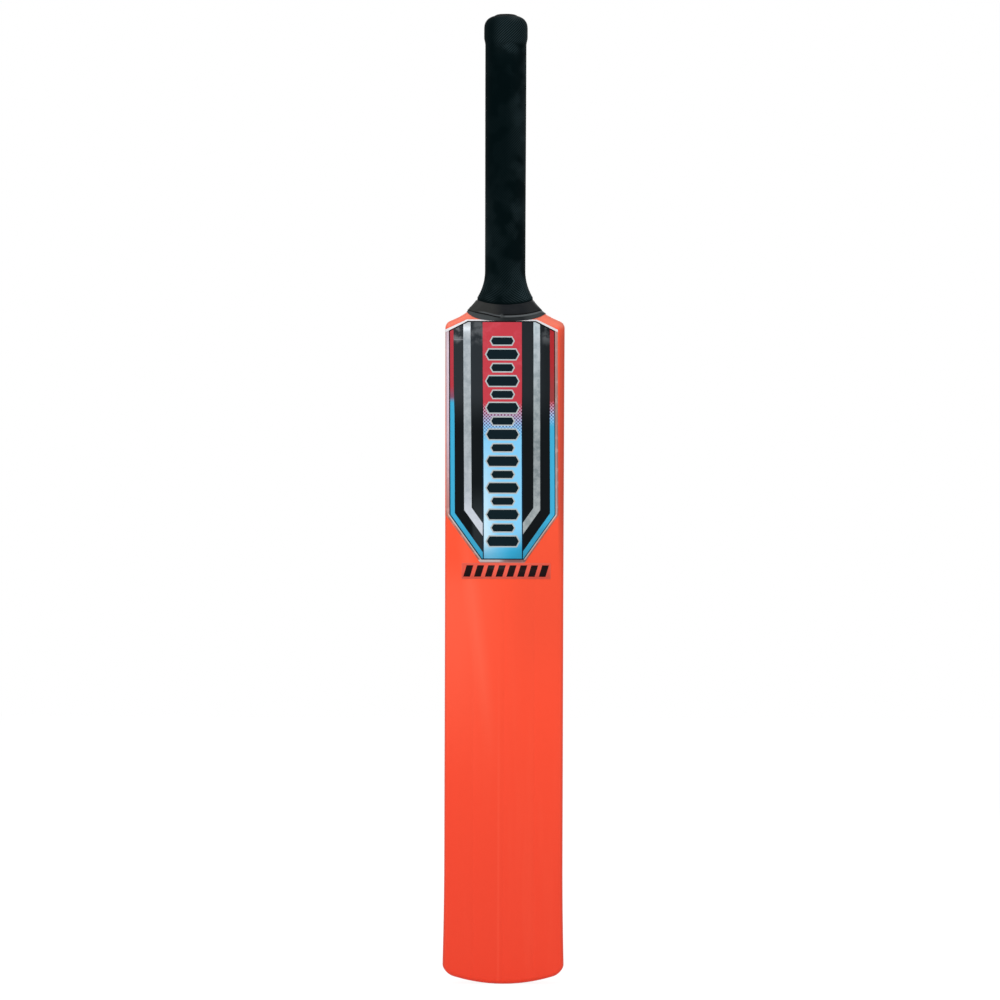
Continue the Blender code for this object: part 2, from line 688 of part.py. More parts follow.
def build_tape(parts, material):
    """Lower turn on the shells, upper turn over the hem of the grip."""
    seam = HEM_BOTTOM - CLEARANCE
    tape(
        "upper_tape",
        (seam, UPPER_TAPE_SAG),
        (HEM_TOP, UPPER_TAPE_TOP_SAG),
        2 * CLEARANCE + GRIP_WALL_HEM,
        parts,
        material,
    )
    tape(
        "lower_tape",
        (FLARE_BOTTOM + LOWER_TAPE_BOTTOM, LOWER_TAPE_SAG),
        (seam - CLEARANCE, UPPER_TAPE_SAG),
        CLEARANCE,
        parts,
        material,
    )


def main():
    for obj in list(bpy.data.objects):
        bpy.data.objects.remove(obj)
    parts = bpy.data.collections.new("cricket_bat")
    helpers = bpy.data.collections.new("helpers")
    for collection in (parts, helpers):
        bpy.context.scene.collection.children.link(collection)
    axis = bpy.data.objects.new("bat_axis", None)
    axis.location.y = AXIS_Y
    parts.objects.link(axis)

    shell = finish("shell_plastic", (0.95, 0.095, 0.045), 0.38)
    wood = finish("core_wood", (0.62, 0.42, 0.24), 0.7)
    plug = finish("plug_plastic", (0.012, 0.013, 0.014), 0.5)
    rubber = finish("grip_rubber", (0.006, 0.009, 0.010), 0.7)
    vinyl = finish("tape_vinyl", (0.012, 0.013, 0.015), 0.35)
    foil = finish("label_foil", (0.35, 0.38, 0.40), 0.3, 0.6)
    film = finish("label_film", (0.90, 0.16, 0.11), 0.25)

    build_shells(parts, helpers, shell)
    build_core(parts, wood)
    build_plug(parts, plug)
    build_grip(parts, rubber)
    build_tape(parts, vinyl)
    label("face_label", face_label_outline(), parts, foil)
    label("lower_label", lower_label_outline(), parts, film)


main()
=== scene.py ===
import functools
import math

import bmesh
import bpy
from mathutils import Matrix, Vector


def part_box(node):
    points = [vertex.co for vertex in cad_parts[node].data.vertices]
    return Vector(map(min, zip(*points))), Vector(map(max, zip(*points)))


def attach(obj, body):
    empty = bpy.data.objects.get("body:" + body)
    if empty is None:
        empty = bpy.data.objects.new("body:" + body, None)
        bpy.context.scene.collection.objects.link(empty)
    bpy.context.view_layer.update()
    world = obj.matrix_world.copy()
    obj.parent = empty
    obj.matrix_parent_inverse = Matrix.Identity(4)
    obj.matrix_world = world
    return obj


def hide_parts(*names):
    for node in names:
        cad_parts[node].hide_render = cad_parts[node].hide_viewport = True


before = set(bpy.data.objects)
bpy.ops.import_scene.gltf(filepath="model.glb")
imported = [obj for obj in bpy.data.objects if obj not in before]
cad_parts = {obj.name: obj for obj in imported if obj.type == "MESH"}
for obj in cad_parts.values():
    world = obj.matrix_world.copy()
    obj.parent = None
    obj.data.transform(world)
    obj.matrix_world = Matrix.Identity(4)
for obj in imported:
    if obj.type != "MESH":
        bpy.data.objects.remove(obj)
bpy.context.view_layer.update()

print("packed bat loaded")

# outline and section of the moulding, in metres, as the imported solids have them
moulding = {
    "toeWidth": 0.1078, "waistWidth": 0.1054, "shoulderWidth": 0.1063, "waistHeight": 0.244,
    "toeSwell": 0.110, "toeArc": 0.150, "toeCorner": 0.0095, "bowFade": 5, "sideHeight": 0.5836,
    "shoulderCorner": 0.0069, "shoulderSlope": 23.7, "neckRadius": 0.047,
    "handleRadius": 0.016, "handleLength": 0.2207,
    "rearEdge": 0.0085, "edgeRadius": 0.0040,
    "spineToe": 0.0130, "spineSwell": 0.0240, "spineShoulder": 0.0180, "swellHeight": 0.200,
    "ridgeSharpness": 0.35, "flankHollow": 1.12, "crestCrowding": 1.2,
    "wall": 0.003, "rim": 0.0003, "clearance": 0.0003,
    "seamHalf": 0.00003,  # the skins all but touch at the seam
}
sectionSteps = {"face": 12, "back": 20, "edge": 16, "side": 8}  # along a quarter of the section
mergeDistance = 0.000005
coreLow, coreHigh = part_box("handle_core")
axisY = (coreLow.y + coreHigh.y) / 2
handleRadius = moulding["handleRadius"]
edgeRadius = moulding["edgeRadius"]
toeCorner = moulding["toeCorner"]
neckRadius = moulding["neckRadius"]
sideHeight = moulding["sideHeight"]
shoulderHalf = moulding["shoulderWidth"] / 2
shoulderCorner = moulding["shoulderCorner"]
shoulderTurn = min(
    math.pi / 2 - math.radians(moulding["shoulderSlope"]),
    math.acos(1 - (shoulderHalf - handleRadius) / (neckRadius + shoulderCorner)),
)
cornerTop = sideHeight + shoulderCorner * math.sin(shoulderTurn)
cornerX = shoulderHalf - shoulderCorner * (1 - math.cos(shoulderTurn))
flareX = handleRadius + neckRadius * (1 - math.cos(shoulderTurn))
flareBottom = cornerTop + (cornerX - flareX) / math.tan(shoulderTurn)
neckTop = flareBottom + neckRadius * math.sin(shoulderTurn)
handleTop = neckTop + moulding["handleLength"]


def ease(value, low, high):
    t = min(1.0, max(0.0, (value - low) / (high - low)))
    return t * t * (3 - 2 * t)


def toeBow(x):
    return moulding["toeArc"] - math.sqrt(moulding["toeArc"] ** 2 - x**2)


toeCornerTop = toeCorner + toeBow(moulding["toeWidth"] / 2)


# stations near the toe follow its arc, further up they are level
def heightAt(station, x):
    return station + toeBow(x) * max(0.0, 1 - station / (moulding["bowFade"] * toeCorner))


def sideHalfWidth(z):
    toe = 1 - min(1.0, max(0.0, (z - toeCornerTop) / (moulding["toeSwell"] - toeCornerTop)))
    top = min(1.0, max(0.0, (z - moulding["waistHeight"]) / (sideHeight - moulding["waistHeight"])))
    waist = moulding["waistWidth"]
    return (waist + (moulding["toeWidth"] - waist) * toe**2 + (2 * shoulderHalf - waist) * top**2) / 2


def halfWidth(station, inset=0.0):
    if station < toeCorner:
        flat = moulding["toeWidth"] / 2 - toeCorner
        if station < inset:
            return flat - (inset - station)
        return flat + math.sqrt((toeCorner - inset) ** 2 - (toeCorner - station) ** 2)
    if station <= sideHeight:
        return sideHalfWidth(heightAt(station, moulding["toeWidth"] / 2)) - inset
    corner = shoulderCorner - inset
    cornerEnd = sideHeight + corner * math.sin(shoulderTurn)
    cornerCentre = shoulderHalf - shoulderCorner
    if station <= cornerEnd:
        return cornerCentre + math.sqrt(corner**2 - (station - sideHeight) ** 2)
    neck = neckRadius + inset
    if station <= neckTop - neck * math.sin(shoulderTurn):
        return cornerCentre + corner * math.cos(shoulderTurn) - (station - cornerEnd) * math.tan(shoulderTurn)
    if station <= neckTop:
        return handleRadius + neckRadius - math.sqrt(neck**2 - (neckTop - station) ** 2)
    return handleRadius - inset


def spineDepth(station):
    if station < moulding["swellHeight"]:
        rise = ease(station, 0, moulding["swellHeight"])
        return moulding["spineToe"] + (moulding["spineSwell"] - moulding["spineToe"]) * rise
    fall = ease(station, moulding["swellHeight"], sideHeight)
    return moulding["spineSwell"] + (moulding["spineShoulder"] - moulding["spineSwell"]) * fall


# the back: a rounded crest with slightly hollow flanks
def ridgeLift(share):
    sharp = moulding["ridgeSharpness"]
    crest = math.hypot(1, sharp)
    return max(0.0, (crest - math.hypot(share, sharp)) / (crest - sharp)) ** moulding["flankHollow"]


def edgeDrop(radius, inset):
    return radius - math.sqrt(max(0.0, radius**2 - (radius - inset) ** 2))


# a quarter of the section, from the centre line round to the seam, as (x, y) points from the axis
@functools.lru_cache(maxsize=None)
def quarter(station, grow, rear):
    wide = halfWidth(station, -grow)
    radius = edgeRadius + grow
    edge = (moulding["rearEdge"] if rear else handleRadius) + grow
    crest = (spineDepth(station) if rear else handleRadius) + grow
    flat, bend, side = (sectionSteps[name] for name in ("back" if rear else "face", "edge", "side"))
    points = []
    for k in range(flat + 1):
        share = (k / flat) ** (moulding["crestCrowding"] if rear else 1.0)
        depth = edge + (crest - edge) * ridgeLift(share) - edgeDrop(radius, min(radius, station))
        points.append((halfWidth(station, edgeRadius) * share, depth))
    for k in range(1, bend + 1):
        inset = radius * (1 - math.sin(math.pi / 2 * k / bend))
        points.append((halfWidth(station, inset - grow), edge - edgeDrop(radius, min(inset, station))))
    for k in range(1, side + 1):
        points.append((wide, (edge - radius) * (1 - k / side)))
    blend = ease(station, cornerTop, neckTop)  # 0 on the blade, 1 on the round handle
    section = []
    for k, (x, y) in enumerate(points):
        turn = math.pi / 2 * k / (len(points) - 1)
        x += (wide * math.sin(turn) - x) * blend
        y += ((handleRadius + grow) * math.cos(turn) - y) * blend
        section.append((x, y if rear else -y))
    return section


@functools.lru_cache(maxsize=None)
def quarterLengths(station, grow, rear):
    points = quarter(station, grow, rear)
    lengths = [0.0]
    for (x0, y0), (x1, y1) in zip(points, points[1:]):
        lengths.append(lengths[-1] + math.hypot(x1 - x0, y1 - y0))
    return lengths


# a point on the whole section: turn counts quarters from the middle of the face towards +X
def ringPoint(station, grow, turn):
    station, grow = round(station, 6), round(grow, 6)
    number = math.floor(turn) % 4
    share = turn - math.floor(turn)
    rear = number in (1, 2)
    if number in (1, 3):
        share = 1 - share
    points, lengths = quarter(station, grow, rear), quarterLengths(station, grow, rear)
    goal = share * lengths[-1]
    k = 1
    while k < len(points) - 1 and lengths[k] < goal:
        k += 1
    part = (goal - lengths[k - 1]) / max(1e-9, lengths[k] - lengths[k - 1])
    x = points[k - 1][0] + (points[k][0] - points[k - 1][0]) * part
    y = points[k - 1][1] + (points[k][1] - points[k - 1][1]) * part
    return (x if number < 2 else -x), y + axisY


# a point round the neck on an edge that dips by sag from the sides to the middle
def bandPoint(side, sag, grow, turn, bow=2.0):
    x, y = ringPoint(side, 0.0, turn)
    across = min(1.0, abs(x) / halfWidth(side))
    z = side - sag * (1 - across**bow)
    x, y = ringPoint(z, grow, turn)
    return Vector((x, y, z))


# depth of the hitting face at (x, z), with something of that thickness on it
def facePoint(x, z, grow):
    points = quarter(round(z, 5), grow, False)
    k = 1
    while k < len(points) - 1 and points[k][0] < abs(x):
        k += 1
    (x0, y0), (x1, y1) = points[k - 1], points[k]
    part = min(1.0, max(0.0, (abs(x) - x0) / max(1e-9, x1 - x0)))
    return Vector((x, y0 + (y1 - y0) * part + axisY, z))


# a flat grid whose corners move to place(column, row); painted names the values kept on each corner
def gridForm(columns, rows, place, painted=()):
    bm = bmesh.new()
    for name in painted:
        bm.verts.layers.float.new(name)
    bmesh.ops.create_grid(bm, x_segments=columns, y_segments=rows, size=0.5)
    corners = {
        vert: (round((vert.co.x + 0.5) * columns), round((vert.co.y + 0.5) * rows)) for vert in bm.verts
    }
    for vert, (column, row) in corners.items():
        vert.co = place(column, row)
    bmesh.ops.remove_doubles(bm, verts=bm.verts, dist=mergeDistance)
    return bm, {vert: corner for vert, corner in corners.items() if vert.is_valid}


def turnOutwards(bm, direction):
    bmesh.ops.recalc_face_normals(bm, faces=bm.faces)
    if sum(face.normal.dot(Vector(direction)) * face.calc_area() for face in bm.faces) < 0:
        bmesh.ops.reverse_faces(bm, faces=bm.faces)


def makePiece(name, bm, material, nodes, sharpAngle=50):
    mesh = bpy.data.meshes.new(name)
    bm.to_mesh(mesh)
    bm.free()
    mesh.shade_smooth()
    mesh.set_sharp_from_angle(angle=math.radians(sharpAngle))
    mesh.materials.append(material)
    piece = bpy.data.objects.new(name, mesh)
    bpy.context.scene.collection.objects.link(piece)
    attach(piece, "root")
    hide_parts(*nodes)
    return piece


def addWall(piece, thickness, rim=0.0):
    wall = piece.modifiers.new("wall", "SOLIDIFY")
    wall.thickness = thickness
    wall.offset = -1
    wall.use_even_offset = True
    wall.use_quality_normals = True
    if rim:
        soften = piece.modifiers.new("rim", "BEVEL")
        soften.width = rim
        soften.segments = 2
        soften.limit_method = "ANGLE"
        soften.angle_limit = math.radians(60)


# one output socket of a shader node: sums with it add Math nodes, add() makes any other node
class Shade:
    def __init__(self, tree, socket=None):
        self.tree = tree
        self.socket = socket

    def add(self, kind, settings=None, sockets=None, output=0):
        node = self.tree.nodes.new(kind)
        for name, value in (settings or {}).items():
            if name == "stops":
                while len(node.color_ramp.elements) < len(value):
                    node.color_ramp.elements.new(0.5)
                for element, (place, colour) in zip(node.color_ramp.elements, value):
                    element.position, element.color = place, (*colour, 1)
            else:
                setattr(node, name, value)
        for name, value in (sockets or {}).items():
            if isinstance(value, Shade):
                self.tree.links.new(value.socket, node.inputs[name])
            else:
                node.inputs[name].default_value = value
        return Shade(self.tree, node.outputs[output])

    def sum(self, operation, *values):
        return self.add("ShaderNodeMath", {"operation": operation}, dict(enumerate(values)))

    def __add__(self, other):
        return self.sum("ADD", self, other)

    def __sub__(self, other):
        return self.sum("SUBTRACT", self, other)

    def __rsub__(self, other):
        return self.sum("SUBTRACT", other, self)

    def __mul__(self, other):
        return self.sum("MULTIPLY", self, other)

    def __truediv__(self, other):
        return self.sum("DIVIDE", self, other)

    def __mod__(self, other):
        return self.sum("FLOORED_MODULO", self, other)

    def __pow__(self, other):
        return self.sum("POWER", self, other)

    def __lt__(self, other):
        return self.sum("LESS_THAN", self, other)

    def __gt__(self, other):
        return self.sum("GREATER_THAN", self, other)

    def __abs__(self):
        return self.sum("ABSOLUTE", self)

    __radd__, __rmul__ = __add__, __mul__

    def least(self, other):
        return self.sum("MINIMUM", self, other)

    def most(self, other):
        return self.sum("MAXIMUM", self, other)

    # smoothly from 0 at low to 1 at high
    def step(self, low, high):
        return self.add("ShaderNodeMapRange", {"interpolation_type": "SMOOTHSTEP"},
                        {0: self, 1: low, 2: high, 3: 0.0, 4: 1.0})

    # smoothly from 1 at low to 0 at high
    def fade(self, low, high):
        return 1.0 - self.step(low, high)

    # 1 at nought, falling evenly to 0 at that distance either side
    def peak(self, width):
        return 1.0 - (abs(self) / width).least(1.0)

    def ramp(self, stops):
        return self.add("ShaderNodeValToRGB", {"stops": stops}, {0: self})

    # this mask lays one colour over another
    def over(self, below, above):
        below, above = (c if isinstance(c, Shade) else (*c, 1) for c in (below, above))
        return self.add("ShaderNodeMix", {"data_type": "RGBA"}, {0: self, 6: below, 7: above}, 2)

    def noise(self, scale, detail=2.0, roughness=0.5, stretch=(1, 1, 1)):
        placed = self.add("ShaderNodeMapping", {}, {"Vector": self, "Scale": stretch})
        return self.add("ShaderNodeTexNoise", {},
                        {"Vector": placed, "Scale": scale, "Detail": detail, "Roughness": roughness})

    def painted(self, name):
        return self.add("ShaderNodeAttribute", {"attribute_name": name}, {}, 2)


def colour(red, green, blue):  # from the 0-255 values of a picture
    return tuple(c / 3294.6 if c <= 10 else ((c / 255 + 0.055) / 1.055) ** 2.4 for c in (red, green, blue))


# a new material: its nodes, a starting socket in object coordinates, and the shader to link to
def newFinish(name, fixed):
    material = bpy.data.materials.new(name)
    material.use_nodes = True
    tree = material.node_tree
    shader = tree.nodes["Principled BSDF"]
    for socket, value in fixed.items():
        shader.inputs[socket].default_value = value
    place = Shade(tree).add("ShaderNodeTexCoord", output=3)
    return material, place, shader


def split(place):
    node = place.add("ShaderNodeSeparateXYZ", {}, {0: place}).socket.node
    return [Shade(place.tree, output) for output in node.outputs]


def joinFinish(shader, height, **links):
    tree = shader.id_data
    bump = height.add("ShaderNodeBump", {}, {"Strength": 1.0, "Distance": 1.0, "Height": height})
    tree.links.new(bump.socket, shader.inputs["Normal"])
    for name, value in links.items():
        tree.links.new(value.socket, shader.inputs[name.replace("_", " ")])


# tones on the plastic, most of them painted light and shade: the (low, high) spans over which each comes or goes,
# and its strength
shellLook = {
    "byHeight": [(0.0, colour(240, 68, 42)), (0.15, colour(244, 70, 43)), (0.30, colour(249, 74, 45)),
                 (0.45, colour(254, 79, 48)), (0.62, colour(255, 84, 50)), (1.0, colour(255, 92, 64))],
    "top": 0.64, "drift": 0.10,
    "pale": colour(255, 108, 80), "shaded": colour(196, 68, 46), "glossy": colour(232, 142, 120),
    "left": {"across": (-0.010, 0.045), "from": (0.16, 0.33), "to": (0.345, 0.385), "strength": 0.35},
    "streak": {"x": -0.030, "z": 0.360, "slant": 0.125, "width": 0.009,
               "from": (0.16, 0.30), "to": (0.55, 0.58), "strength": 0.30},
    "thread": {"x": -0.0045, "width": 0.0016, "to": (0.20, 0.34), "strength": 0.16},
    "flow": {"span": (0.0, 0.25), "strength": 0.08},
    "beside": {"across": (0.0465, 0.0500), "inwards": (-0.0125, -0.0085),
               "from": (0.320, 0.450), "to": (0.572, 0.600), "strength": 0.92},
    "dusk": {"across": (-0.010, 0.025), "from": (0.24, 0.33), "to": (0.38, 0.45), "strength": 0.17},
    "leftEdge": {"across": (0.0505, 0.0528), "strength": 0.40},
    "rightEdge": {"across": (0.0500, 0.0528), "strength": 0.16},
    "shoulder": {"from": (0.5815, 0.5870), "strength": 0.58},
    "sink": {"depth": 0.00006, "width": 0.0035, "pitch": 0.075, "side": 0.027, "across": 0.6, "below": 0.04},
    "roughness": 0.36, "grain": 0.000012, "scuff": 0.000012,
}


def makeShellPlastic():
    look = shellLook
    material, place, shader = newFinish("orange_plastic", {"Specular IOR Level": 0.2})
    x, y, z = split(place)
    front = y < axisY
    cloud = place.noise(7.0, 3.0, 0.55, (1, 1, 0.45))
    speckle = place.noise(900.0, 2.0, 0.6)
    flow = place.noise(60.0, 3.0, 0.6, (1, 1, 0.06))  # faint streaks along the flow of the plastic

    def level(tone):
        return z.step(*tone["from"]) * z.fade(*tone["to"])

    # painted light: the colour runs from darker at the toe to lighter towards the top, as light falls from above
    tint = ((z + (cloud - 0.5) * look["drift"]) / look["top"]).ramp(look["byHeight"])
    # painted light: the left is paler, with a painted highlight streak that slants down the upper blade; a thin
    # pale line runs down the middle
    left, streak, thread = look["left"], look["streak"], look["thread"]
    pale = (0.0 - x).step(*left["across"]) * level(left) * left["strength"]
    slanted = (x - streak["x"] - (streak["z"] - z) * streak["slant"]).peak(streak["width"])
    pale = pale + slanted * level(streak) * front * streak["strength"]
    pale = pale + (x - thread["x"]).peak(thread["width"]) * z.fade(*thread["to"]) * thread["strength"]
    pale = pale + (flow - 0.5).step(*look["flow"]["span"]) * look["flow"]["strength"]
    tint = pale.over(tint, look["pale"])
    # painted shade: darker beside the right edge of the face label, below it on the right, and on the rounded
    # edges
    beside, dusk, leftEdge, rightEdge = (look[name] for name in ("beside", "dusk", "leftEdge", "rightEdge"))
    shade = x.step(*beside["across"]) * level(beside) * (y - axisY).fade(*beside["inwards"]) * beside["strength"]
    shade = shade.most(x.step(*dusk["across"]) * level(dusk) * front * dusk["strength"])
    rounding = (0.0 - x).step(*leftEdge["across"]) * leftEdge["strength"]
    rounding = rounding + x.step(*rightEdge["across"]) * rightEdge["strength"]
    tint = shade.most(rounding * front).over(tint, look["shaded"])
    # painted reflection: the shoulders are painted paler, as if mirroring the pale room
    shoulder = look["shoulder"]
    tint = (z.step(*shoulder["from"]) * front * shoulder["strength"]).over(tint, look["glossy"])

    # the plastic sinks a little over the ribs inside
    rib = look["sink"]
    sink = 0.0
    for side in (-rib["side"], 0.0, rib["side"]):
        sink = sink + (x - side).peak(rib["width"]) ** 2
    across = (z + rib["pitch"] / 2) % rib["pitch"] - rib["pitch"] / 2
    sink = sink + across.peak(rib["width"]) ** 2 * (z < sideHeight - rib["below"]) * rib["across"]
    scuff = place.noise(420.0, 2.0, 0.5, (1, 1, 0.03)).step(0.68, 0.8) * place.noise(16.0).step(0.5, 0.7)
    rough = look["roughness"] + (cloud - 0.5) * 0.10 + scuff * 0.15 + (speckle - 0.5) * 0.06
    height = speckle * look["grain"] - sink * rib["depth"] - scuff * look["scuff"]
    joinFinish(shader, height, Base_Color=tint, Roughness=rough)
    return material


shellPlastic = makeShellPlastic()

# front and rear shells: fine skins on the solids' own section, given their wall inwards
shellFineness = {
    "toeRows": 4, "edgeRows": 8, "cornerRows": 6, "bladeRows": 44, "toeCrowding": 1.25,
    "shoulderRows": 12, "neckRows": 36,
}


def shellStations():
    rows = shellFineness
    stations = []
    for k in range(rows["edgeRows"] + 1):
        stations.append(edgeRadius * (1 - math.cos(math.pi / 2 * k / rows["edgeRows"])))
    for k in range(1, rows["cornerRows"] + 1):
        stations.append(edgeRadius + (toeCorner - edgeRadius) * k / rows["cornerRows"])
    for k in range(1, rows["bladeRows"] + 1):
        stations.append(toeCorner + (sideHeight - toeCorner) * (k / rows["bladeRows"]) ** rows["toeCrowding"])
    for k in range(1, rows["shoulderRows"] + 1):
        stations.append(sideHeight + shoulderCorner * math.sin(shoulderTurn * k / rows["shoulderRows"]))
    for k in range(rows["neckRows"] + 1):
        stations.append(neckTop - neckRadius * math.sin(shoulderTurn * (1 - k / rows["neckRows"])))
    return stations + [(neckTop + handleTop) / 2, handleTop]


def makeShell(name, rear):
    stations = shellStations()
    toeRows = shellFineness["toeRows"]
    last = len(quarter(0.0, 0.0, rear)) - 1
    lengths = quarterLengths(0.0, 0.0, rear)
    seam = moulding["seamHalf"] * (1 if rear else -1)

    def place(column, row):
        index = abs(column - last)
        station = stations[max(0, row - toeRows)]
        x, y = quarter(station, 0.0, rear)[index]
        y = max(y, seam) if rear else min(y, seam)
        if row < toeRows:  # under the toe: from the seam out to the rounded edge
            share = row / toeRows
            seamX = lengths[index] / lengths[-1] * halfWidth(0.0)
            x, y = seamX + (x - seamX) * share, seam + (y - seam) * share
        return Vector((math.copysign(x, column - last), y + axisY, heightAt(station, x)))

    bm = gridForm(2 * last, toeRows + len(stations) - 1, place)[0]
    turnOutwards(bm, (0, 1 if rear else -1, 0))
    shell = makePiece(name, bm, shellPlastic, ["rear_shell" if rear else "front_shell"])
    addWall(shell, moulding["wall"], moulding["rim"])


makeShell("blade_front", False)
makeShell("blade_back", True)
print("shells made")

# wooden core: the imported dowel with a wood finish
woodLook = {
    "light": colour(214, 178, 128), "dark": colour(160, 116, 70), "ringPitch": 0.0032, "wander": 0.012,
    "roughness": 0.62, "poreDepth": 0.00003,
}


def makeWood():
    material, place, shader = newFinish("dowel_wood", {"Specular IOR Level": 0.3})
    x, y, z = split(place)
    wander = place.noise(9.0, 3.0, 0.5, (1, 1, 0.08))
    rings = ((x * 0.8 + y * 0.6 + wander * woodLook["wander"]) / woodLook["ringPitch"]) % 1.0
    rings = abs(rings - 0.5) * 2.0
    pores = place.noise(900.0, 2.0, 0.6, (1, 1, 0.03))
    grain = rings.step(0.1, 0.95) * 0.7 + pores.step(0.55, 0.75) * 0.3
    joinFinish(shader, pores * woodLook["poreDepth"], Base_Color=grain.over(woodLook["light"], woodLook["dark"]),
               Roughness=woodLook["roughness"] + (pores - 0.5) * 0.2)
    return material


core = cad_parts["handle_core"]
wood = makeWood()
for number in range(len(core.material_slots)):
    core.material_slots[number].material = wood

# rubber grip: one sleeve with a moulded cross pattern
grip = {
    "columns": 96, "pitch": 0.00118, "depth": 0.00015,
    "wall": 0.0017, "wallTop": 0.0020, "wallHem": 0.0006, "hemLength": 0.0030,
    "collarSwell": 0.0011, "collarLength": 0.0261, "collarRise": 0.0070, "lipThickness": 0.0022,
    "domeHeight": 0.0131, "domeFullness": 3.0, "domeRoundness": 0.4,
    "plugHeadTop": 0.0043, "plugChamfer": 0.0032,
    "mouth": 0.0103, "mouthLip": 0.00012, "mouthEdge": 0.0004, "lipRows": (0.0016, 0.0006),
    "sleeveSteps": 400, "collarSteps": 60, "domeSteps": 80, "insideSteps": 24, "hemSteps": 4,
    "hemBottom": 0.0083, "hemTop": 0.0169, "hemSag": 0.0045, "topSag": 0.0041,
}
# the black of the rubber, and the spans over which light is painted on it
rubberLook = {
    "colour": colour(0, 9, 11), "ridge": colour(41, 55, 59), "wornAndLit": colour(56, 64, 66), "roughness": 0.68,
    "crest": (0.30, 0.95), "crestLight": (0.46, 0.58), "leastCrestLight": 0.15, "grain": 0.00003,
    "butt": (0.834, 0.840), "lower": (0.66, 0.72), "flare": (0.612, 0.645),
    "upper": {"from": (0.74, 0.79), "to": (0.80, 0.825)},
    "collar": {"from": (0.812, 0.835), "left": (-0.014, -0.002), "right": (0.005, 0.014), "strength": 0.85},
    "lit": {"least": 0.13, "right": (-0.002, 0.014), "left": (-0.012, -0.002)},
    "gleam": {"x": 0.0075, "width": 0.007, "from": (0.8555, 0.8600), "to": (0.8610, 0.8625), "strength": 0.45},
}


def makeRubber():
    look = rubberLook
    material, place, shader = newFinish("grip_rubber", {"Specular IOR Level": 0.015})
    x, y, z = split(place)
    turn = place.sum("ARCTAN2", place.painted("sine"), place.painted("cosine"))
    column = turn * (grip["columns"] / (2 * math.pi))
    row, relief = place.painted("row"), place.painted("relief")
    cloud = place.noise(26.0, 3.0, 0.6)
    dust = place.noise(700.0, 2.0, 0.6)
    butt = z.step(*look["butt"])

    # ridges rise both ways; painted light picks out one direction here and the other there
    def crest(line):
        return (1.0 - abs(line % 2.0 - 1.0)).step(*look["crest"])

    def crestLight(scale):
        return look["leastCrestLight"] + (1.0 - look["leastCrestLight"]) * place.noise(scale, 2.0).step(*look["crestLight"])

    rising = crest(column - row) * crestLight(33.0).most(butt)
    falling = crest(column + row) * (crestLight(41.0) * (1.0 - butt * 0.85))
    ridge = rising.most(falling) * relief

    # painted light: the ridges are painted lighter where light falls, unevenly along the handle
    lit, collar, gleam = look["lit"], look["collar"], look["gleam"]
    upper = z.step(*look["upper"]["from"]) * z.fade(*look["upper"]["to"])
    lower, flare = z.fade(*look["lower"]), z.fade(*look["flare"])
    light = lit["least"] + x.step(*lit["right"]) * (1.0 - lower * 0.2) * (0.48 + upper * 0.12)
    onCollar = z.step(*collar["from"]) * x.step(*collar["left"]) * (1.0 - x.step(*collar["right"]) * 0.9)
    light = light + onCollar * collar["strength"]
    light = light + lower * (0.17 + 0.13 * x.fade(*lit["left"])) + butt * x.step(0.0, 0.014) * 0.30
    light = light + flare * (abs(x).step(0.006, 0.018) * 0.12 + x.step(0.008, 0.018) * 0.25)
    light = (light * (0.75 + cloud * 0.5)).least(1.0)
    tint = (ridge * light).over(look["colour"], look["ridge"])
    # dust patches, painted lighter where the painted light falls
    patch = cloud.step(0.50, 0.78) * 0.20 + dust.step(0.6, 0.85) * 0.12
    tint = (patch * light * (0.4 + 0.6 * ridge)).over(tint, look["wornAndLit"])
    # a painted highlight on the right of the dome
    shine = (x - gleam["x"]).peak(gleam["width"]) * z.step(*gleam["from"]) * z.fade(*gleam["to"])
    tint = (shine * gleam["strength"]).over(tint, look["wornAndLit"])
    rough = look["roughness"] + (cloud - 0.5) * 0.14 + (dust - 0.5) * 0.08 - ridge * 0.06
    joinFinish(shader, dust * look["grain"], Base_Color=tint, Roughness=rough)
    return material


# the outside of the sleeve from its hem to its mouth, in small steps: height at the sides, sag, stand-off
def gripProfile():
    clearance = moulding["clearance"]
    hemTop = flareBottom + grip["hemTop"]
    lipTop = handleTop + grip["plugHeadTop"] + clearance + grip["lipThickness"]
    collarBottom = lipTop - grip["collarLength"]
    profile = []
    for k in range(grip["sleeveSteps"] + 1):
        z = hemTop + (collarBottom - hemTop) * k / grip["sleeveSteps"]
        hem = ease(z, hemTop, hemTop + grip["hemLength"])
        top = ease(z, neckTop, handleTop - grip["collarLength"])
        wall = grip["wallHem"] + (grip["wall"] - grip["wallHem"]) * hem + (grip["wallTop"] - grip["wall"]) * top
        profile.append((z, grip["topSag"] * (1 - ease(z, hemTop, neckTop)), clearance + wall))
    full = clearance + grip["wallTop"] + grip["collarSwell"]
    domeBottom = lipTop - grip["domeHeight"]
    for k in range(1, grip["collarSteps"] + 1):
        z = collarBottom + (domeBottom - collarBottom) * k / grip["collarSteps"]
        rise = ease(z, collarBottom, collarBottom + grip["collarRise"])
        profile.append((z, 0.0, full - grip["collarSwell"] * (1 - rise)))
    radius, fullness, roundness = handleRadius + full, grip["domeFullness"], grip["domeRoundness"]
    reach = (1 - (grip["mouth"] / radius) ** (1 / roundness)) ** (1 / fullness)
    for k in range(1, grip["domeSteps"] + 1):
        share = math.sin(math.pi / 2 * k / grip["domeSteps"])
        across = radius * (1 - (reach * share) ** fullness) ** roundness
        profile.append((domeBottom + grip["domeHeight"] * share, 0.0, across - handleRadius))
    return profile


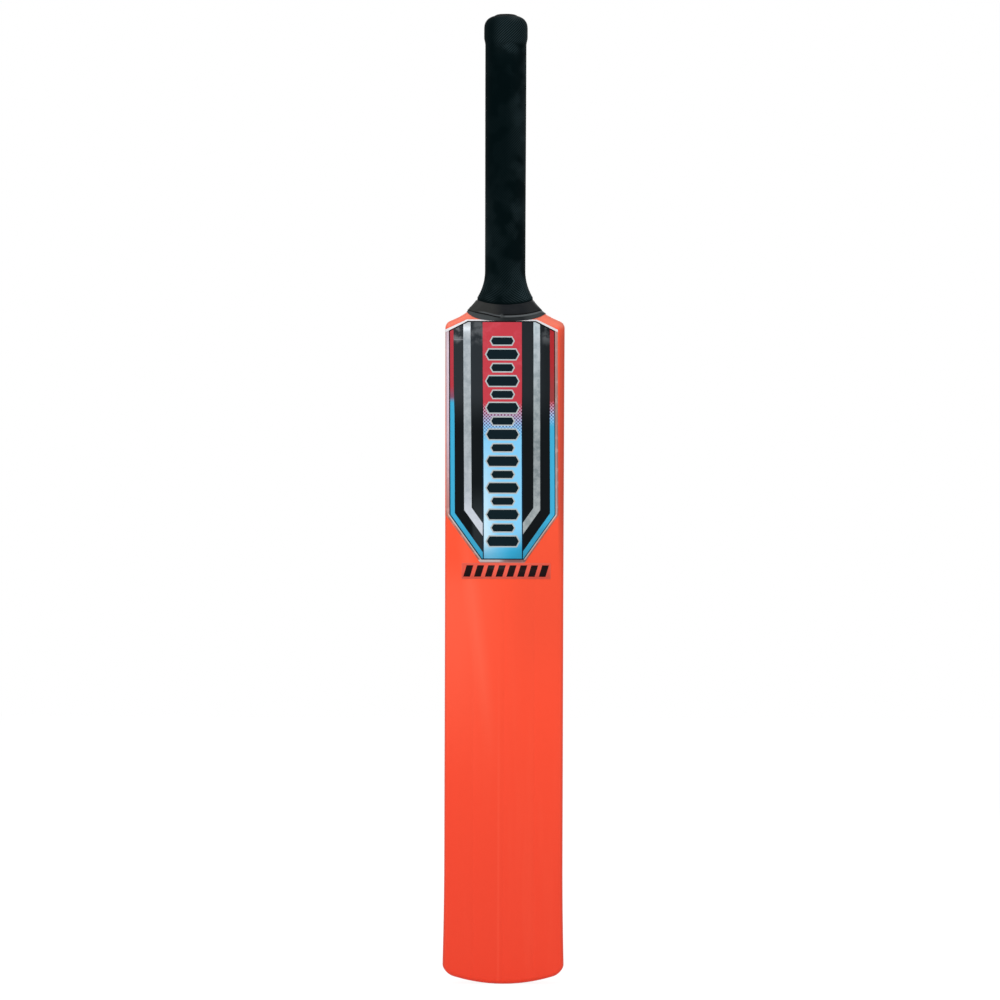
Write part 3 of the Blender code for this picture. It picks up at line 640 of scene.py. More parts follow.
def evenRows(profile, spacing):
    points = [(halfWidth(z) + grow, z) for z, sag, grow in profile]
    lengths = [0.0]
    for (x0, z0), (x1, z1) in zip(points, points[1:]):
        lengths.append(lengths[-1] + math.hypot(x1 - x0, z1 - z0))
    count = round(lengths[-1] / spacing)
    rows, k = [], 1
    for number in range(count + 1):
        goal = lengths[-1] * number / count
        while k < len(lengths) - 1 and lengths[k] < goal:
            k += 1
        part = (goal - lengths[k - 1]) / (lengths[k] - lengths[k - 1])
        rows.append([a + (b - a) * part for a, b in zip(profile[k - 1], profile[k])])
    return rows


def makeGrip():
    clearance = moulding["clearance"]
    hemLow, hemTop = flareBottom + grip["hemBottom"], flareBottom + grip["hemTop"]
    hemSteps, insideSteps = grip["hemSteps"], grip["insideSteps"]
    hemRows = []
    for k in range(hemSteps + 1):  # height and sag up the hem, which is thin and smooth under the tape
        sag = grip["hemSag"] + (grip["topSag"] - grip["hemSag"]) * k / hemSteps
        hemRows.append((hemLow + (hemTop - hemLow) * k / hemSteps, sag))
    hem = [[z, sag, clearance + grip["wallHem"]] for z, sag in hemRows[:-1]]
    pattern = evenRows(gripProfile(), grip["pitch"])
    underLip, chamfer = handleTop + grip["plugHeadTop"] + clearance, grip["plugChamfer"]
    mouth = grip["mouth"] - handleRadius
    inside = [[underLip + up, 0.0, mouth - grip["mouthLip"]] for up in grip["lipRows"]]
    inside += [[underLip, 0.0, mouth + grip["mouthEdge"]], [underLip, 0.0, clearance - chamfer],
               [underLip - chamfer, 0.0, clearance]]
    for k in range(1, insideSteps + 1):
        z = underLip - chamfer + (hemTop - underLip + chamfer) * k / insideSteps
        inside.append([z, grip["topSag"] * (1 - ease(z, hemTop, neckTop)), clearance])
    inside += [[z, sag, clearance] for z, sag in reversed(hemRows[:-1])]
    rows = hem + pattern + inside
    first, last = len(hem), len(hem) + len(pattern) - 1

    def strength(row):
        return min(1.0, (row - first) / 2, (last - row) / 4) if first < row < last else 0.0

    def place(column, row):
        side, sag, grow = rows[row % len(rows)]
        grow += grip["depth"] * strength(row) * (0.5 if (row + column) % 2 else -0.5)
        return bandPoint(side, sag, grow, 4 * (column % grip["columns"]) / grip["columns"])

    painted = ("sine", "cosine", "row", "relief")
    bm, corners = gridForm(grip["columns"], len(rows), place, painted)
    layers = [bm.verts.layers.float[name] for name in painted]
    ridges = []
    for vert, (column, row) in corners.items():
        turn = 2 * math.pi * column / grip["columns"]
        for layer, value in zip(layers, (math.sin(turn), math.cos(turn), row, strength(row))):
            vert[layer] = value
        if (row + column) % 2 and first < row < last:
            ridges.append(vert)
    # ridges run from each high corner to the next ones, slantwise both ways
    bmesh.ops.connect_verts(bm, verts=ridges)
    bmesh.ops.recalc_face_normals(bm, faces=bm.faces)
    makePiece("grip_sleeve", bm, makeRubber(), ["rubber_grip"], 16)


makeGrip()
print("grip made")

# plug in the mouth of the grip
plug = {
    "headTop": 0.0043, "bossHeight": 0.0040, "bossRadius": 0.0100, "bossEdge": 0.0005, "flatRadius": 0.0060,
    "crown": 0.0012, "headChamfer": 0.0032, "stubEdge": 0.0010, "stubGap": 0.0004, "stubLength": 0.012,
    "dimple": 0.0004, "dimpleRadius": 0.0010, "dimpleEdge": 0.0014, "crownSteps": 8, "crownFall": 0.75,
    "crownPower": 1.7, "edgeFall": 1.1, "steps": 96,
    "colour": colour(4, 5, 6), "dusty": colour(13, 15, 16), "roughness": 0.7, "turning": 0.0009,
}


def makePlugPlastic():
    material, place, shader = newFinish("plug_plastic", {"Specular IOR Level": 0.03})
    x, y, z = split(place)
    grain = place.noise(1300.0, 2.0, 0.6)
    cloud = place.noise(140.0, 2.0, 0.5)
    radius = (x * x + (y - axisY) * (y - axisY)) ** 0.5
    turned = (radius / plug["turning"]) % 1.0
    tint = (cloud.step(0.45, 0.75) * 0.5).over(plug["colour"], plug["dusty"])
    rough = plug["roughness"] + (grain - 0.5) * 0.12 + (cloud - 0.5) * 0.1
    joinFinish(shader, grain * 0.00002 + abs(turned - 0.5) * 0.00004, Base_Color=tint, Roughness=rough)
    return material


def makePlug():
    top, head = handleTop + plug["headTop"] + plug["bossHeight"], handleTop + plug["headTop"]
    stub = handleRadius - moulding["wall"] - plug["stubGap"]
    profile = [(0, top - plug["dimple"]), (plug["dimpleRadius"], top - plug["dimple"]), (plug["dimpleEdge"], top),
               (plug["flatRadius"], top)]
    for k in range(1, plug["crownSteps"] + 1):
        share = k / plug["crownSteps"]
        radius = plug["flatRadius"] + (plug["bossRadius"] - plug["bossEdge"] - plug["flatRadius"]) * share
        profile.append((radius, top - plug["crownFall"] * plug["crown"] * share ** plug["crownPower"]))
    profile += [(plug["bossRadius"], top - plug["crown"] * plug["edgeFall"]), (plug["bossRadius"], head),
                (handleRadius - plug["headChamfer"], head), (handleRadius, head - plug["headChamfer"]),
                (handleRadius, handleTop + moulding["clearance"]), (stub, handleTop + moulding["clearance"]),
                (stub, handleTop - plug["stubLength"] + plug["stubEdge"]),
                (stub - plug["stubEdge"], handleTop - plug["stubLength"]), (0, handleTop - plug["stubLength"])]
    bm = bmesh.new()
    points = [bm.verts.new((x, axisY, z)) for x, z in profile]
    edges = [bm.edges.new(pair) for pair in zip(points, points[1:])]
    bmesh.ops.spin(bm, geom=points + edges, cent=(0, axisY, 0), axis=(0, 0, 1), angle=2 * math.pi,
                   steps=plug["steps"], use_merge=True)
    bmesh.ops.remove_doubles(bm, verts=bm.verts, dist=mergeDistance)
    bmesh.ops.recalc_face_normals(bm, faces=bm.faces)
    makePiece("butt_plug", bm, makePlugPlastic(), ["handle_plug"], 35)


makePlug()
print("plug made")

# two turns of tape at the foot of the grip, each a lapped ribbon; start and end count quarter turns
tape = {
    "thickness": 0.00032, "columns": 200, "rows": 16, "lap": (3.55, 3.95), "lapGap": 0.00006, "tuckShare": 0.3,
    "droop": 0.335, "roughness": 0.5, "dark": colour(1, 3, 4), "gleam": colour(86, 90, 92),
    "tight": (0.012, 0.026), "weavePitch": 0.0016, "shadow": (-0.013, 0.001), "shadowEnd": (0.014, 0.024),
    "cutEnd": {"x": -0.0030, "z": 0.5946, "reach": 0.0022, "strength": 0.9},
}
upperTurn = {
    "bottom": 0.0080, "top": 0.0169, "bottomSag": 0.0045, "topSag": 0.0046, "drift": 0.0018, "lean": 0.0,
    "bow": 2.0, "inside": 0.00094, "tuck": 0.00034, "start": 3.945, "end": -1.5, "rightShade": 0.1,
    "colour": colour(44, 45, 44), "deep": colour(16, 20, 25), "wornAndLit": colour(58, 60, 60),
}
lowerTurn = {
    "bottom": 0.0058, "top": 0.0084, "bottomSag": 0.0080, "topSag": 0.0046, "drift": 0.0, "lean": 0.0008,
    "bow": 2.4, "inside": 0.00026, "tuck": 0.0, "start": 1.7, "end": 5.9, "rightShade": 0.6,
    "colour": colour(62, 66, 67), "deep": colour(18, 22, 25), "wornAndLit": colour(72, 76, 78),
}


# how far an edge of a turn dips from the sides to the middle; the tape hangs lower where it begins
def edgeSag(turn, at, up):
    late = ease(at, turn["start"] - tape["droop"], turn["start"])
    return turn["bottomSag"] + (turn["topSag"] - turn["bottomSag"]) * up + turn["drift"] * late * (1 - up)


def makeVinyl(name, turn):
    material, place, shader = newFinish(name, {"Specular IOR Level": 0.1})
    x, y, z = split(place)
    front = y < axisY
    cloud = place.noise(70.0, 3.0, 0.6)
    pulled = place.noise(120.0, 3.0, 0.6, (0.35, 0.35, 4.0))
    # the rubber's pattern presses through where the tape is tight, at the sides
    tight = abs(x).step(*tape["tight"])
    weave = abs(((x + z) / tape["weavePitch"]) % 1.0 - 0.5) + abs(((x - z) / tape["weavePitch"]) % 1.0 - 0.5)
    shadow = x.step(*tape["shadow"]) * (1.0 - x.step(*tape["shadowEnd"]) * turn["rightShade"])
    tint = (shadow * 0.85 + (cloud - 0.5) * 0.6).over(turn["colour"], turn["deep"])
    tint = (tight * (weave - 0.2).step(0.2, 0.7) * 0.45).over(tint, turn["wornAndLit"])
    tint = (pulled.step(0.58, 0.75) * 0.25).over(tint, turn["wornAndLit"])

    # painted highlight and painted shadow along the edge that laps over; below is the distance under it, in
    # millimetres
    below = place.painted("below")
    if turn is lowerTurn:
        under = below - 1.20 + x.step(-0.006, 0.0) * 0.45
        gleam = (under.step(0.0, 0.2) - under.step(1.4, 1.8)) * x.step(-0.003, 0.001) * front
        dark = under.fade(-0.3, 0.1)
    else:
        gleam = below.step(-1.5, -1.1) * x.step(-0.026, -0.018) * x.fade(-0.003, -0.002) * front * 0.8
        dark = below.step(-0.40, -0.15) * x.step(-0.003, -0.002)
    tint = dark.over(gleam.over(tint, tape["gleam"]), tape["dark"])
    # painted highlight where the cut end of the tape catches the light
    end = tape["cutEnd"]
    away = ((x - end["x"]) ** 2 + (z - end["z"]) ** 2) ** 0.5
    tint = (away.peak(end["reach"]) * front * end["strength"]).over(tint, tape["gleam"])
    rough = tape["roughness"] + (cloud - 0.5) * 0.2 + (pulled - 0.5) * 0.12
    height = pulled * 0.00016 + weave * tight * 0.00010 + cloud * 0.00010
    joinFinish(shader, height, Base_Color=tint, Roughness=rough)
    return material


def makeTurn(name, turn, node):
    low, high = flareBottom + turn["bottom"], flareBottom + turn["top"]

    def along(column):
        return turn["start"] + (turn["end"] - turn["start"]) * column / tape["columns"]

    def place(column, row):
        at, up = along(column), row / tape["rows"]
        lap = ease(abs(at - turn["start"]), *tape["lap"])
        grow = turn["inside"] + tape["thickness"] + lap * (tape["thickness"] + tape["lapGap"])
        grow -= turn["tuck"] * (1 - ease(up, 0.0, tape["tuckShare"]))
        bow = turn["bow"] + (2.0 - turn["bow"]) * up
        lean = turn["lean"] * (1 - up) * math.sin(math.pi / 2 * at)
        return bandPoint(low + (high - low) * up - lean, edgeSag(turn, at, up) - lean, grow, at, bow)

    bm, corners = gridForm(tape["columns"], tape["rows"], place, ["below"])
    below = bm.verts.layers.float["below"]
    for vert, (column, row) in corners.items():
        at = along(column) % 4
        if at > upperTurn["start"]:
            at -= 4
        side = edge = flareBottom + upperTurn["bottom"]
        for step in range(4):  # each pass comes closer to the edge's height here
            across = min(1.0, abs(vert.co.x) / halfWidth(edge))
            edge = side - edgeSag(upperTurn, at, 0.0) * (1 - across * across)
        vert[below] = (edge - vert.co.z) * 1000
    bmesh.ops.recalc_face_normals(bm, faces=bm.faces)
    middle = Vector((0, axisY, low))
    if sum(face.normal.dot(face.calc_center_median() - middle) for face in bm.faces) < 0:
        bmesh.ops.reverse_faces(bm, faces=bm.faces)
    addWall(makePiece(name, bm, makeVinyl(name + "_vinyl", turn), [node]), tape["thickness"])


makeTurn("tape_upper_turn", upperTurn, "upper_tape")
makeTurn("tape_lower_turn", lowerTurn, "lower_tape")
print("tape wound")

# foil label on the face; its own middle line leans by tilt
label = {
    "centre": -0.0022, "tilt": 0.006, "middle": 0.4843, "halfWidth": 0.0472,
    "top": 0.5900, "topCorner": 0.5814, "topFlat": 0.0302,
    "bottom": 0.3776, "bottomCorner": 0.4175, "bottomFlat": 0.0188,
    "border": 0.0026, "slopeBorder": 0.0013, "endBorder": 0.0028, "topBorder": 0.0013, "leftWrap": 0.0503,
    "topCut": 0.0008, "rightCut": 0.0006, "leftCut": 0.0010,
    "rise": 0.0002, "thickness": 0.00015,
    "bends": [-0.0524, -0.0520, -0.0515, -0.0510, -0.0504, -0.0498, -0.0492, -0.0486, 0.0, 0.0470, 0.0484],
    "rowStart": 0.376, "rowPitch": 0.0134, "rows": 15, "topRow": 0.5902,
}
labelPrint = {
    # widths in from the outline of the print, and half the width of the band down its middle
    "keyline": 0.00105, "stripe": 0.0048, "black": 0.0129, "silver": 0.0193, "bandHalf": 0.0174,
    "bandShift": 0.0003, "edgeLine": 0.0005, "halves": (-0.002, 0.002),
    # red above turns to blue below over these heights
    "bandDots": (0.4840, 0.5175), "stripeDots": (0.4960, 0.5190), "melt": (0.5165, 0.5230, 0.5330),
    "redTop": 0.56, "dotPitch": 0.0021, "dotSize": 0.42, "dotEdge": 0.08,
    "skyLift": (0.440, 0.500), "skyFoot": (0.382, 0.400), "footSlant": 0.2, "footAcross": (-0.016, 0.010),
    "glare": {"across": (0.002, 0.016), "to": (0.395, 0.505), "strength": 0.68},
    "red": colour(196, 62, 74), "rose": colour(210, 84, 98),
    "sky": colour(134, 208, 248), "skyDeep": colour(122, 200, 244), "skyPale": colour(226, 246, 252),
    "blue": colour(56, 174, 218), "bluePale": colour(112, 192, 228), "dotSky": colour(124, 202, 244),
    "stripeRed": colour(181, 58, 69), "stripeBlue": colour(64, 173, 214), "plum": colour(136, 82, 104),
    "rightRed": colour(152, 62, 63), "rightRedTop": colour(173, 43, 48),
    "dotGround": [(0.38, colour(156, 206, 244)), (0.56, colour(184, 190, 222)), (0.8, colour(204, 150, 174)),
                  (0.95, colour(204, 92, 106))],
    "dotInk": [(0.22, colour(92, 150, 200)), (0.42, colour(78, 84, 136)), (0.6, colour(98, 44, 84)),
               (0.82, colour(132, 40, 58))],
    "ink": colour(12, 17, 20), "soft": colour(42, 47, 51), "topSheen": colour(128, 132, 136),
    "navy": colour(10, 28, 35), "edgeNavy": colour(14, 40, 62), "white": colour(240, 240, 244),
    "foil": colour(178, 186, 188), "foilPale": colour(222, 226, 228), "foilDark": colour(96, 106, 106),
    "foilLeft": [(0.0, colour(210, 215, 226)), (0.20, colour(193, 200, 211)), (0.32, colour(162, 171, 178)),
                 (0.55, colour(152, 162, 167)), (0.92, colour(160, 170, 177)), (1.0, colour(188, 193, 198))],
    "foilRight": [(0.0, colour(152, 162, 162)), (0.20, colour(146, 155, 157)), (0.30, colour(132, 142, 145)),
                  (0.42, colour(118, 129, 133)), (0.60, colour(134, 146, 149)), (0.92, colour(166, 178, 185)),
                  (1.0, colour(192, 210, 217))],
    # the clear edge of the film: its inner part left and right, then its outer part; the pale left inner part is
    # a painted highlight, the outer right a painted shade
    "rimLeft": [(0.0, colour(174, 122, 118)), (0.25, colour(186, 133, 130)), (0.5, colour(200, 180, 194)),
                (0.88, colour(216, 198, 212)), (1.0, colour(190, 172, 180))],
    "rimRight": [(0.0, colour(178, 174, 176)), (0.30, colour(170, 154, 154)), (0.60, colour(154, 132, 128)),
                 (1.0, colour(176, 136, 130))],
    "outerLeft": [(0.0, colour(212, 120, 106)), (0.45, colour(206, 140, 134)), (0.9, colour(196, 158, 156)),
                  (1.0, colour(186, 160, 166))],
    "outerRight": [(0.0, colour(178, 114, 106)), (0.5, colour(154, 110, 104)), (1.0, colour(197, 126, 118))],
    "outerFrom": 0.0021, "slopeFrom": 0.0009, "rimStep": (0.0002, -0.0003), "footStep": (0.0016, 0.0022),
    "slopeRim": colour(206, 200, 196), "slopeOuter": colour(188, 112, 98), "rimGlint": colour(236, 214, 208),
    "footLeft": colour(212, 202, 202), "footRight": colour(150, 112, 110), "footOuter": colour(206, 140, 134),
    "scratch": {"z": 0.5738, "u": -0.0380, "half": 0.0045, "width": 0.0005, "colour": colour(150, 154, 160)},
}
# bars on the band: each kind has its middle in the pitch, half height and half width
motif = {
    "bottom": 0.3878, "top": 0.5778, "pitch": 0.02375, "point": 0.55, "squeeze": 0.88, "rim": 0.0011,
    "long": (0.0062, 0.0043, 0.0142), "short": (0.0181, 0.0032, 0.0100),
}


# the dot screen between two heights: fading ground and darker dots, both from blue to red
def dotScreen(place, span, blue, red):
    x, y, z = split(place)
    pitch = labelPrint["dotPitch"] * math.sqrt(2)
    dotX, dotZ = ((x + z) / pitch) % 1.0 - 0.5, ((x - z) / pitch) % 1.0 - 0.5
    fall = (z - span[0]) / (span[1] - span[0])
    ground, dots = (fall.ramp([(0.0, blue), *labelPrint[name], (1.0, red)]) for name in ("dotGround", "dotInk"))
    inside = labelPrint["dotSize"] - (dotX * dotX + dotZ * dotZ) ** 0.5
    return inside.step(0.0, labelPrint["dotEdge"]).over(ground, dots)


# distance in from a sloping edge: inside is the height past its corner, drop the height that it spans
def slopeDepth(inside, across, flat, drop):
    run = label["halfWidth"] - flat
    size = math.hypot(run, drop)
    return inside * (run / size) - (across - label["halfWidth"]) * (drop / size)


def makeLabelPrint():
    look = labelPrint
    material, place, shader = newFinish("label_print", {"Specular IOR Level": 0.05})
    x, y, z = split(place)
    u = x - label["centre"] + (z - label["middle"]) * label["tilt"]
    across, right = abs(u), u.step(*look["halves"])
    # the sides and the lower slopes carry the stripes, the other edges only the keyline
    lowSlope = slopeDepth(z - label["bottomCorner"], across, label["bottomFlat"],
                          label["bottomCorner"] - label["bottom"])
    highSlope = slopeDepth(label["topCorner"] - z, across, label["topFlat"], label["top"] - label["topCorner"])
    depth = (label["halfWidth"] - across).least(lowSlope)
    ends = highSlope.least(label["top"] - z).least(z - label["bottom"])
    whole = depth.least(ends)
    fall = (z - label["bottom"]) / (label["top"] - label["bottom"])
    mottle = place.noise(150.0, 5.0, 0.7)
    brush = place.noise(60.0, 3.0, 0.6, (1, 1, 0.25))
    cloud = place.noise(22.0, 2.0, 0.5)
    patch = place.noise(90.0, 3.0, 0.6)

    def bothSides(left, rightSide):
        return right.over(fall.ramp(look[left]), fall.ramp(look[rightSide]))

    def bandTint():
        glare = look["glare"]
        sky = (z.step(*look["skyLift"]) * 0.5).over(look["sky"], look["skyDeep"])
        shine = (0.0 - u).step(*glare["across"]) * z.fade(*glare["to"])
        sky = (shine * glare["strength"]).over(sky, look["skyPale"])
        foot = u.step(*look["footAcross"]).over(look["bluePale"], look["blue"])
        sky = (z - u * look["footSlant"]).step(*look["skyFoot"]).over(foot, sky)
        low, high = look["bandDots"]
        band = (z > low).over(sky, dotScreen(place, look["bandDots"], look["dotSky"], look["red"]))
        band = (z > high).over(band, look["red"])
        return (patch.step(0.50, 0.75) * z.step(0.505, 0.56) * 0.5).over(band, look["rose"])

    # the left stripe melts from red to blue, the right one goes through dots
    def stripeTint():
        start, middle, end = look["melt"]
        left = z.step(start, middle).over(look["stripeBlue"], look["plum"])
        left = z.step(middle, end).over(left, look["stripeRed"])
        low, high = look["stripeDots"]
        dots = dotScreen(place, look["stripeDots"], look["stripeBlue"], look["rightRed"])
        reds = z.step(high, look["redTop"]).over(look["rightRed"], look["rightRedTop"])
        return right.over(left, (z > high).over((z > low).over(look["stripeBlue"], dots), reds))

    # painted reflection: black goes grey where the film mirrors the room, and paler in patches near the top
    def blackTint():
        reflected = 1.0 - right * 0.35 - (across - 0.030).step(0.0, 0.01) * right * 0.3
        reflected = (z + (cloud - 0.5) * 0.03).step(0.490, 0.528) * reflected
        reflected = reflected.most(z.fade(0.412, 0.448) * (1.0 - right) * (across - 0.026).step(0.002, -0.001) * 0.9)
        topSheen = patch.step(0.42, 0.62) * z.step(0.566, 0.576)
        topSheen = topSheen * (1.0 - right + (across - 0.034).step(0.0, 0.004))
        return (topSheen * 0.35).over(reflected.over(look["ink"], look["soft"]), look["topSheen"])

    def foilTint():
        foil = (mottle.step(0.36, 0.64) * 0.24).over(bothSides("foilLeft", "foilRight"), look["foilPale"])
        return (mottle.fade(0.30, 0.52) * (0.10 + 0.14 * right)).over(foil, look["foilDark"])

    # the clear edge of the film beyond the print, with painted highlights on its left and top and painted shade
    # on its outer right
    def rimTint():
        outer = (whole + look["outerFrom"] - right * 0.0006).step(*look["rimStep"])
        rim = outer.over(bothSides("rimLeft", "rimRight"), bothSides("outerLeft", "outerRight"))
        outer = (whole + look["slopeFrom"]).step(*look["rimStep"])
        rim = (lowSlope < 0.0).over(rim, outer.over(look["slopeRim"], look["slopeOuter"]))
        foot = (u + (patch - 0.5) * 0.02).step(-0.010, 0.004).over(look["footLeft"], look["footRight"])
        foot = (label["bottom"] - z).step(*look["footStep"]).over(foot, look["footOuter"])
        rim = (z < label["bottom"]).over(rim, foot)
        # a painted highlight along the top edge of the film
        rim = ((ends < 0.0) * z.step(0.5785, 0.5815)).over(rim, look["white"])
        return ((mottle - 0.5).step(0.0, 0.2) * 0.25).over(rim, look["rimGlint"])

    bandAcross = abs(u - look["bandShift"])
    level = ((z - motif["bottom"]) / motif["pitch"] % 1.0) * motif["pitch"]

    # distance in from the outline of a bar with pointed ends
    def bar(middle, tall, wide):
        up = abs(level - middle)
        return (up - tall).most((bandAcross - wide + up * motif["point"]) * motif["squeeze"])

    bars = bar(*motif["long"]).least(bar(*motif["short"]))
    inRange = (z > motif["bottom"]) * (z < motif["top"])
    barRim, barInk = (bars < motif["rim"]) * inRange, (bars < 0.0) * inRange

    # all layers, from the outline in; the widths grow or shrink a little by height and side
    low = z.fade(0.42, 0.58)
    foilMask = (depth > look["black"] + low * 0.0003 + right * 0.0004)
    foilMask = foilMask * (depth < look["silver"] + low * 0.0005 - right * 0.0002)
    bandMask = bandAcross < look["bandHalf"]
    bandEdge = abs(bandAcross - look["bandHalf"]) < z.fade(0.47, 0.545) * look["edgeLine"]
    lineTint = z.step(0.45, 0.52).over(look["edgeNavy"], look["ink"])
    tint = (depth > look["keyline"] - right * 0.0003).over(lineTint, stripeTint())
    tint = (depth > look["stripe"] - z.step(0.50, 0.54) * (0.0007 - right * 0.0004)).over(tint, blackTint())
    tint = foilMask.over(tint, foilTint())
    tint = bandMask.over(tint, bandTint())
    tint = (bandMask * barRim).over(tint, look["foil"])
    tint = (bandMask * barInk).over(tint, look["navy"])
    tint = bandEdge.over(tint, lineTint)
    tint = (ends < look["keyline"]).over(tint, lineTint)
    tint = (whole < 0.0).over(tint, rimTint())

    metal = (foilMask * (1.0 - bandMask)).most(bandMask * barRim * (1.0 - barInk)) * 0.5
    metal = metal * (1.0 - (whole < 0.0))
    scratches = place.noise(330.0, 2.0, 0.5, (0.06, 1, 1)).step(0.72, 0.78) * cloud.step(0.5, 0.6)
    scratch = look["scratch"]
    line = (z - scratch["z"] - u * 0.01).peak(scratch["width"]) * (abs(u - scratch["u"]) < scratch["half"]) * 0.7
    tint = (scratches * 0.3).most(line).over(tint, scratch["colour"])
    rough = 0.42 + (brush - 0.5) * 0.16 + (mottle - 0.5) * 0.10 * foilMask + scratches * 0.2
    height = mottle * 0.00003 * (0.3 + foilMask) + brush * 0.00005 + cloud * 0.00010 - scratches * 0.00001
    joinFinish(shader, height, Base_Color=tint, Roughness=rough, Metallic=metal)
    return material


# a sheet on the face: a flat outline, cut across by lines where it has to bend, then laid on the moulding
def laySheet(name, outline, cutsX, cutsZ, rise, thickness, material, node):
    bm = bmesh.new()
    bmesh.ops.contextual_create(bm, geom=[bm.verts.new((x, 0, z)) for x, z in outline])
    for normal, cuts in (((1, 0, 0), cutsX), ((0, 0, 1), cutsZ)):
        for cut in cuts:
            bmesh.ops.bisect_plane(bm, geom=bm.verts[:] + bm.edges[:] + bm.faces[:],
                                   plane_co=Vector(normal) * cut, plane_no=normal)
    for vert in bm.verts:
        vert.co = facePoint(vert.co.x, vert.co.z, rise)
    turnOutwards(bm, (0, -1, 0))
    addWall(makePiece(name, bm, material, [node]), thickness)


def faceLabelOutline():
    half, left, slopeBorder = label["halfWidth"] + label["border"], label["leftWrap"], label["slopeBorder"]
    top, bottom = label["top"] + label["topBorder"], label["bottom"] - label["endBorder"]
    low, high = label["bottomCorner"] - slopeBorder * 0.3, label["topCorner"] + label["topBorder"] * 0.7
    # (distance from the label's own middle line, height)
    topEdge = label["topFlat"] + label["topCut"]
    corners = [(label["bottomFlat"] + label["rightCut"], bottom), (half, low), (half, high), (topEdge, top),
               (-topEdge, top), (-left, high), (-left, low), (-label["bottomFlat"] - label["leftCut"], bottom)]
    return [(label["centre"] + u - (z - label["middle"]) * label["tilt"], z) for u, z in corners]


labelRows = [label["rowStart"] + label["rowPitch"] * k for k in range(1, label["rows"] + 1)] + [label["topRow"]]
laySheet("face_label_sheet", faceLabelOutline(), label["bends"], labelRows, label["rise"], label["thickness"],
         makeLabelPrint(), "face_label")

# small clear strip below it
strip = {
    "left": -0.0380, "right": 0.0412, "top": 0.3747, "bottom": 0.3604, "corner": 0.0006, "rise": 0.00014,
    "thickness": 0.00010, "colour": colour(238, 94, 76), "edge": colour(246, 114, 94), "ink": colour(24, 4, 6),
    "edgeSpan": (0.0002, 0.0008), "roughness": 0.4, "wave": 0.00008,
    "dashes": 8, "dashPitch": 0.0096, "dashWidth": 0.0060, "dashTall": 0.0051, "slant": 0.30,
}


def makeStripPrint():
    material, place, shader = newFinish("strip_film", {"Specular IOR Level": 0.1})
    x, y, z = split(place)
    middleX, middleZ = (strip["left"] + strip["right"]) / 2, (strip["top"] + strip["bottom"]) / 2
    across, up = abs(x - middleX), abs(z - middleZ)
    inset = ((strip["right"] - strip["left"]) / 2 - across).least((strip["top"] - strip["bottom"]) / 2 - up)
    wave = place.noise(150.0, 2.0, 0.5)
    pale = inset.fade(*strip["edgeSpan"]) * 0.7 + wave.step(0.55, 0.8) * 0.15
    tint = pale.over(strip["colour"], strip["edge"])
    # a row of slanted dashes
    along = x - middleX - (z - middleZ) * strip["slant"] + strip["dashes"] * strip["dashPitch"] / 2
    dash = abs((along / strip["dashPitch"]) % 1.0 - 0.5) < strip["dashWidth"] / strip["dashPitch"] / 2
    dash = dash * (up < strip["dashTall"]) * (along > 0.0) * (along < strip["dashes"] * strip["dashPitch"])
    tint = dash.over(tint, strip["ink"])
    rough = strip["roughness"] + (wave - 0.5) * 0.1
    joinFinish(shader, wave * strip["wave"], Base_Color=tint, Roughness=rough)
    return material


def stripOutline():
    low, high, left, right, cut = (strip[k] for k in ("bottom", "top", "left", "right", "corner"))
    return [(left + cut, low), (right - cut, low), (right, low + cut), (right, high - cut),
            (right - cut, high), (left + cut, high), (left, high - cut), (left, low + cut)]


laySheet("strip_sheet", stripOutline(), [], [], strip["rise"], strip["thickness"],
         makeStripPrint(), "lower_label")
print("labels laid")

# camera, floor and light
view = {
    "lens": 200, "sensor": 36, "clipEnd": 50, "distance": 4.942, "centreX": -0.0040, "centreZ": 0.4307,
    "roll": -0.180,
}
faceY = axisY - handleRadius
cameraData = bpy.data.cameras.new("camera")
cameraData.lens = view["lens"]
cameraData.sensor_width = view["sensor"]
cameraData.clip_end = view["clipEnd"]
camera = bpy.data.objects.new("camera", cameraData)
bpy.context.scene.collection.objects.link(camera)
camera.matrix_world = (
    Matrix.Translation((view["centreX"], faceY - view["distance"], view["centreZ"]))
    @ Matrix.Rotation(math.radians(view["roll"]), 4, "Y") @ Matrix.Rotation(math.pi / 2, 4, "X")
)
bpy.context.scene.camera = camera

studio = {
    "worldLight": 0.54, "floorHalf": 6, "floorGrey": 0.86, "floorRoughness": 0.9, "floorShare": 0.82,
    "floorGlow": 1.12,
    "key": {"place": (-1.5, -2.2, 2.0), "aim": (0, 0, 0.45), "size": 1.6, "power": 40},
    "fill": {"place": (1.7, -2.0, 1.0), "aim": (0, 0, 0.40), "size": 1.4, "power": 9},
    "back": {"place": (0.4, 2.2, 1.6), "aim": (0, 0, 0.5), "size": 1.6, "power": 18},
}


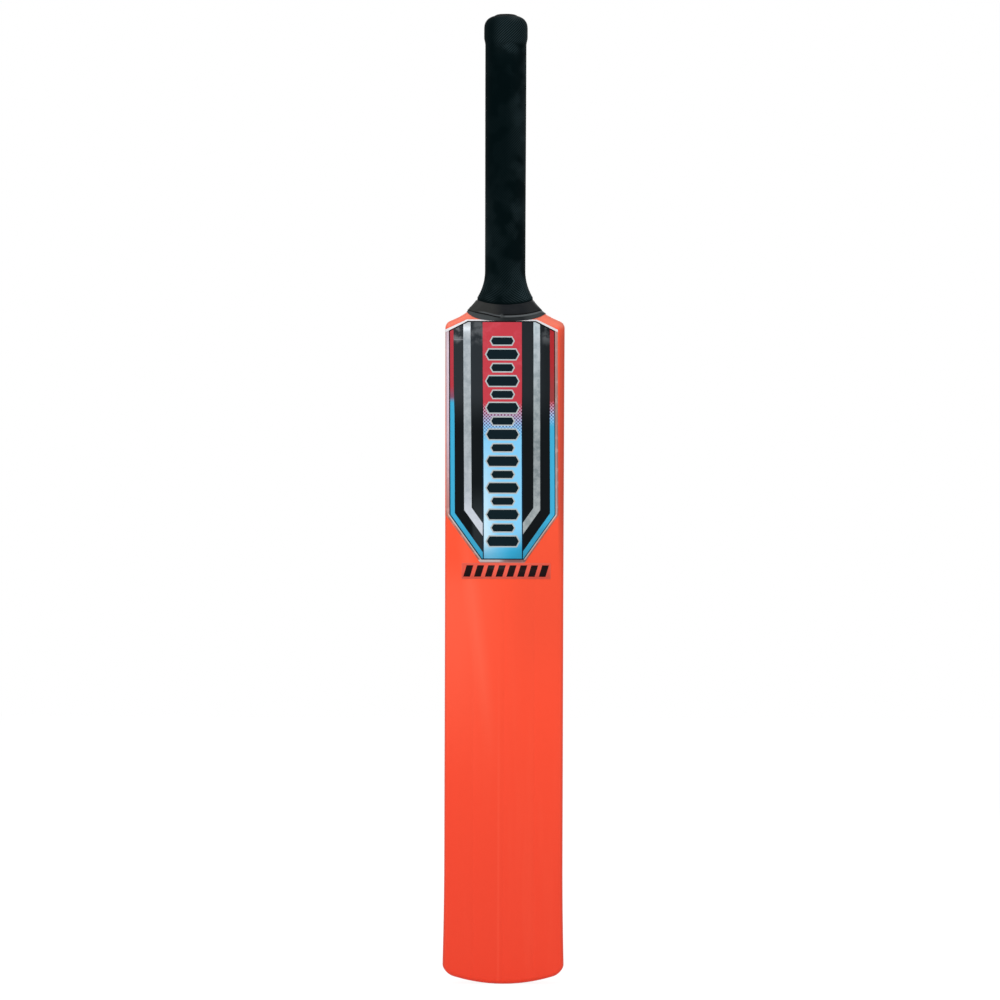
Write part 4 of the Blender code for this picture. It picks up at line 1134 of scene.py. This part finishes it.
# seen straight, in a reflection or through something clear, the surroundings are white
def seenMask(nodes):
    path = nodes.add("ShaderNodeLightPath").socket.node
    camera, glossy, through = (
        Shade(nodes.tree, path.outputs[name])
        for name in ("Is Camera Ray", "Is Glossy Ray", "Is Transmission Ray")
    )
    return camera.most(glossy).most(through)


def makeFloor():
    bm = bmesh.new()
    bmesh.ops.create_grid(bm, x_segments=1, y_segments=1, size=studio["floorHalf"])
    mesh = bpy.data.meshes.new("floor")
    bm.to_mesh(mesh)
    bm.free()
    floor = bpy.data.objects.new("floor", mesh)
    bpy.context.scene.collection.objects.link(floor)
    material = bpy.data.materials.new("floor_white")
    material.use_nodes = True
    tree = material.node_tree
    nodes = Shade(tree)
    shader = tree.nodes["Principled BSDF"]
    shader.inputs["Base Color"].default_value = (*[studio["floorGrey"]] * 3, 1)
    shader.inputs["Roughness"].default_value = studio["floorRoughness"]
    shader.inputs["Specular IOR Level"].default_value = 0.0
    glow = nodes.add("ShaderNodeEmission", {}, {"Color": (1, 1, 1, 1), "Strength": studio["floorGlow"]})
    mixed = nodes.add("ShaderNodeMixShader", {}, {0: seenMask(nodes) * studio["floorShare"],
                                                  1: Shade(tree, shader.outputs[0]), 2: glow})
    tree.links.new(mixed.socket, tree.nodes["Material Output"].inputs["Surface"])
    mesh.materials.append(material)


def makeWorld():
    world = bpy.data.worlds.new("studio")
    world.use_nodes = True
    bpy.context.scene.world = world
    tree = world.node_tree
    nodes = Shade(tree)
    background = tree.nodes["Background"]
    background.inputs["Color"].default_value = (1, 1, 1, 1)
    strength = seenMask(nodes) * (1.0 - studio["worldLight"]) + studio["worldLight"]
    tree.links.new(strength.socket, background.inputs["Strength"])


def addLamp(name):
    lamp = studio[name]
    data = bpy.data.lights.new(name, "AREA")
    data.shape = "SQUARE"
    data.size = lamp["size"]
    data.energy = lamp["power"]
    obj = bpy.data.objects.new(name, data)
    bpy.context.scene.collection.objects.link(obj)
    obj.location = lamp["place"]
    obj.rotation_euler = (Vector(lamp["aim"]) - obj.location).to_track_quat("-Z", "Y").to_euler()


makeFloor()
makeWorld()
for lampName in ("key", "fill", "back"):
    addLamp(lampName)
bpy.context.scene.view_settings.view_transform = "Standard"
print("camera, floor and light set")
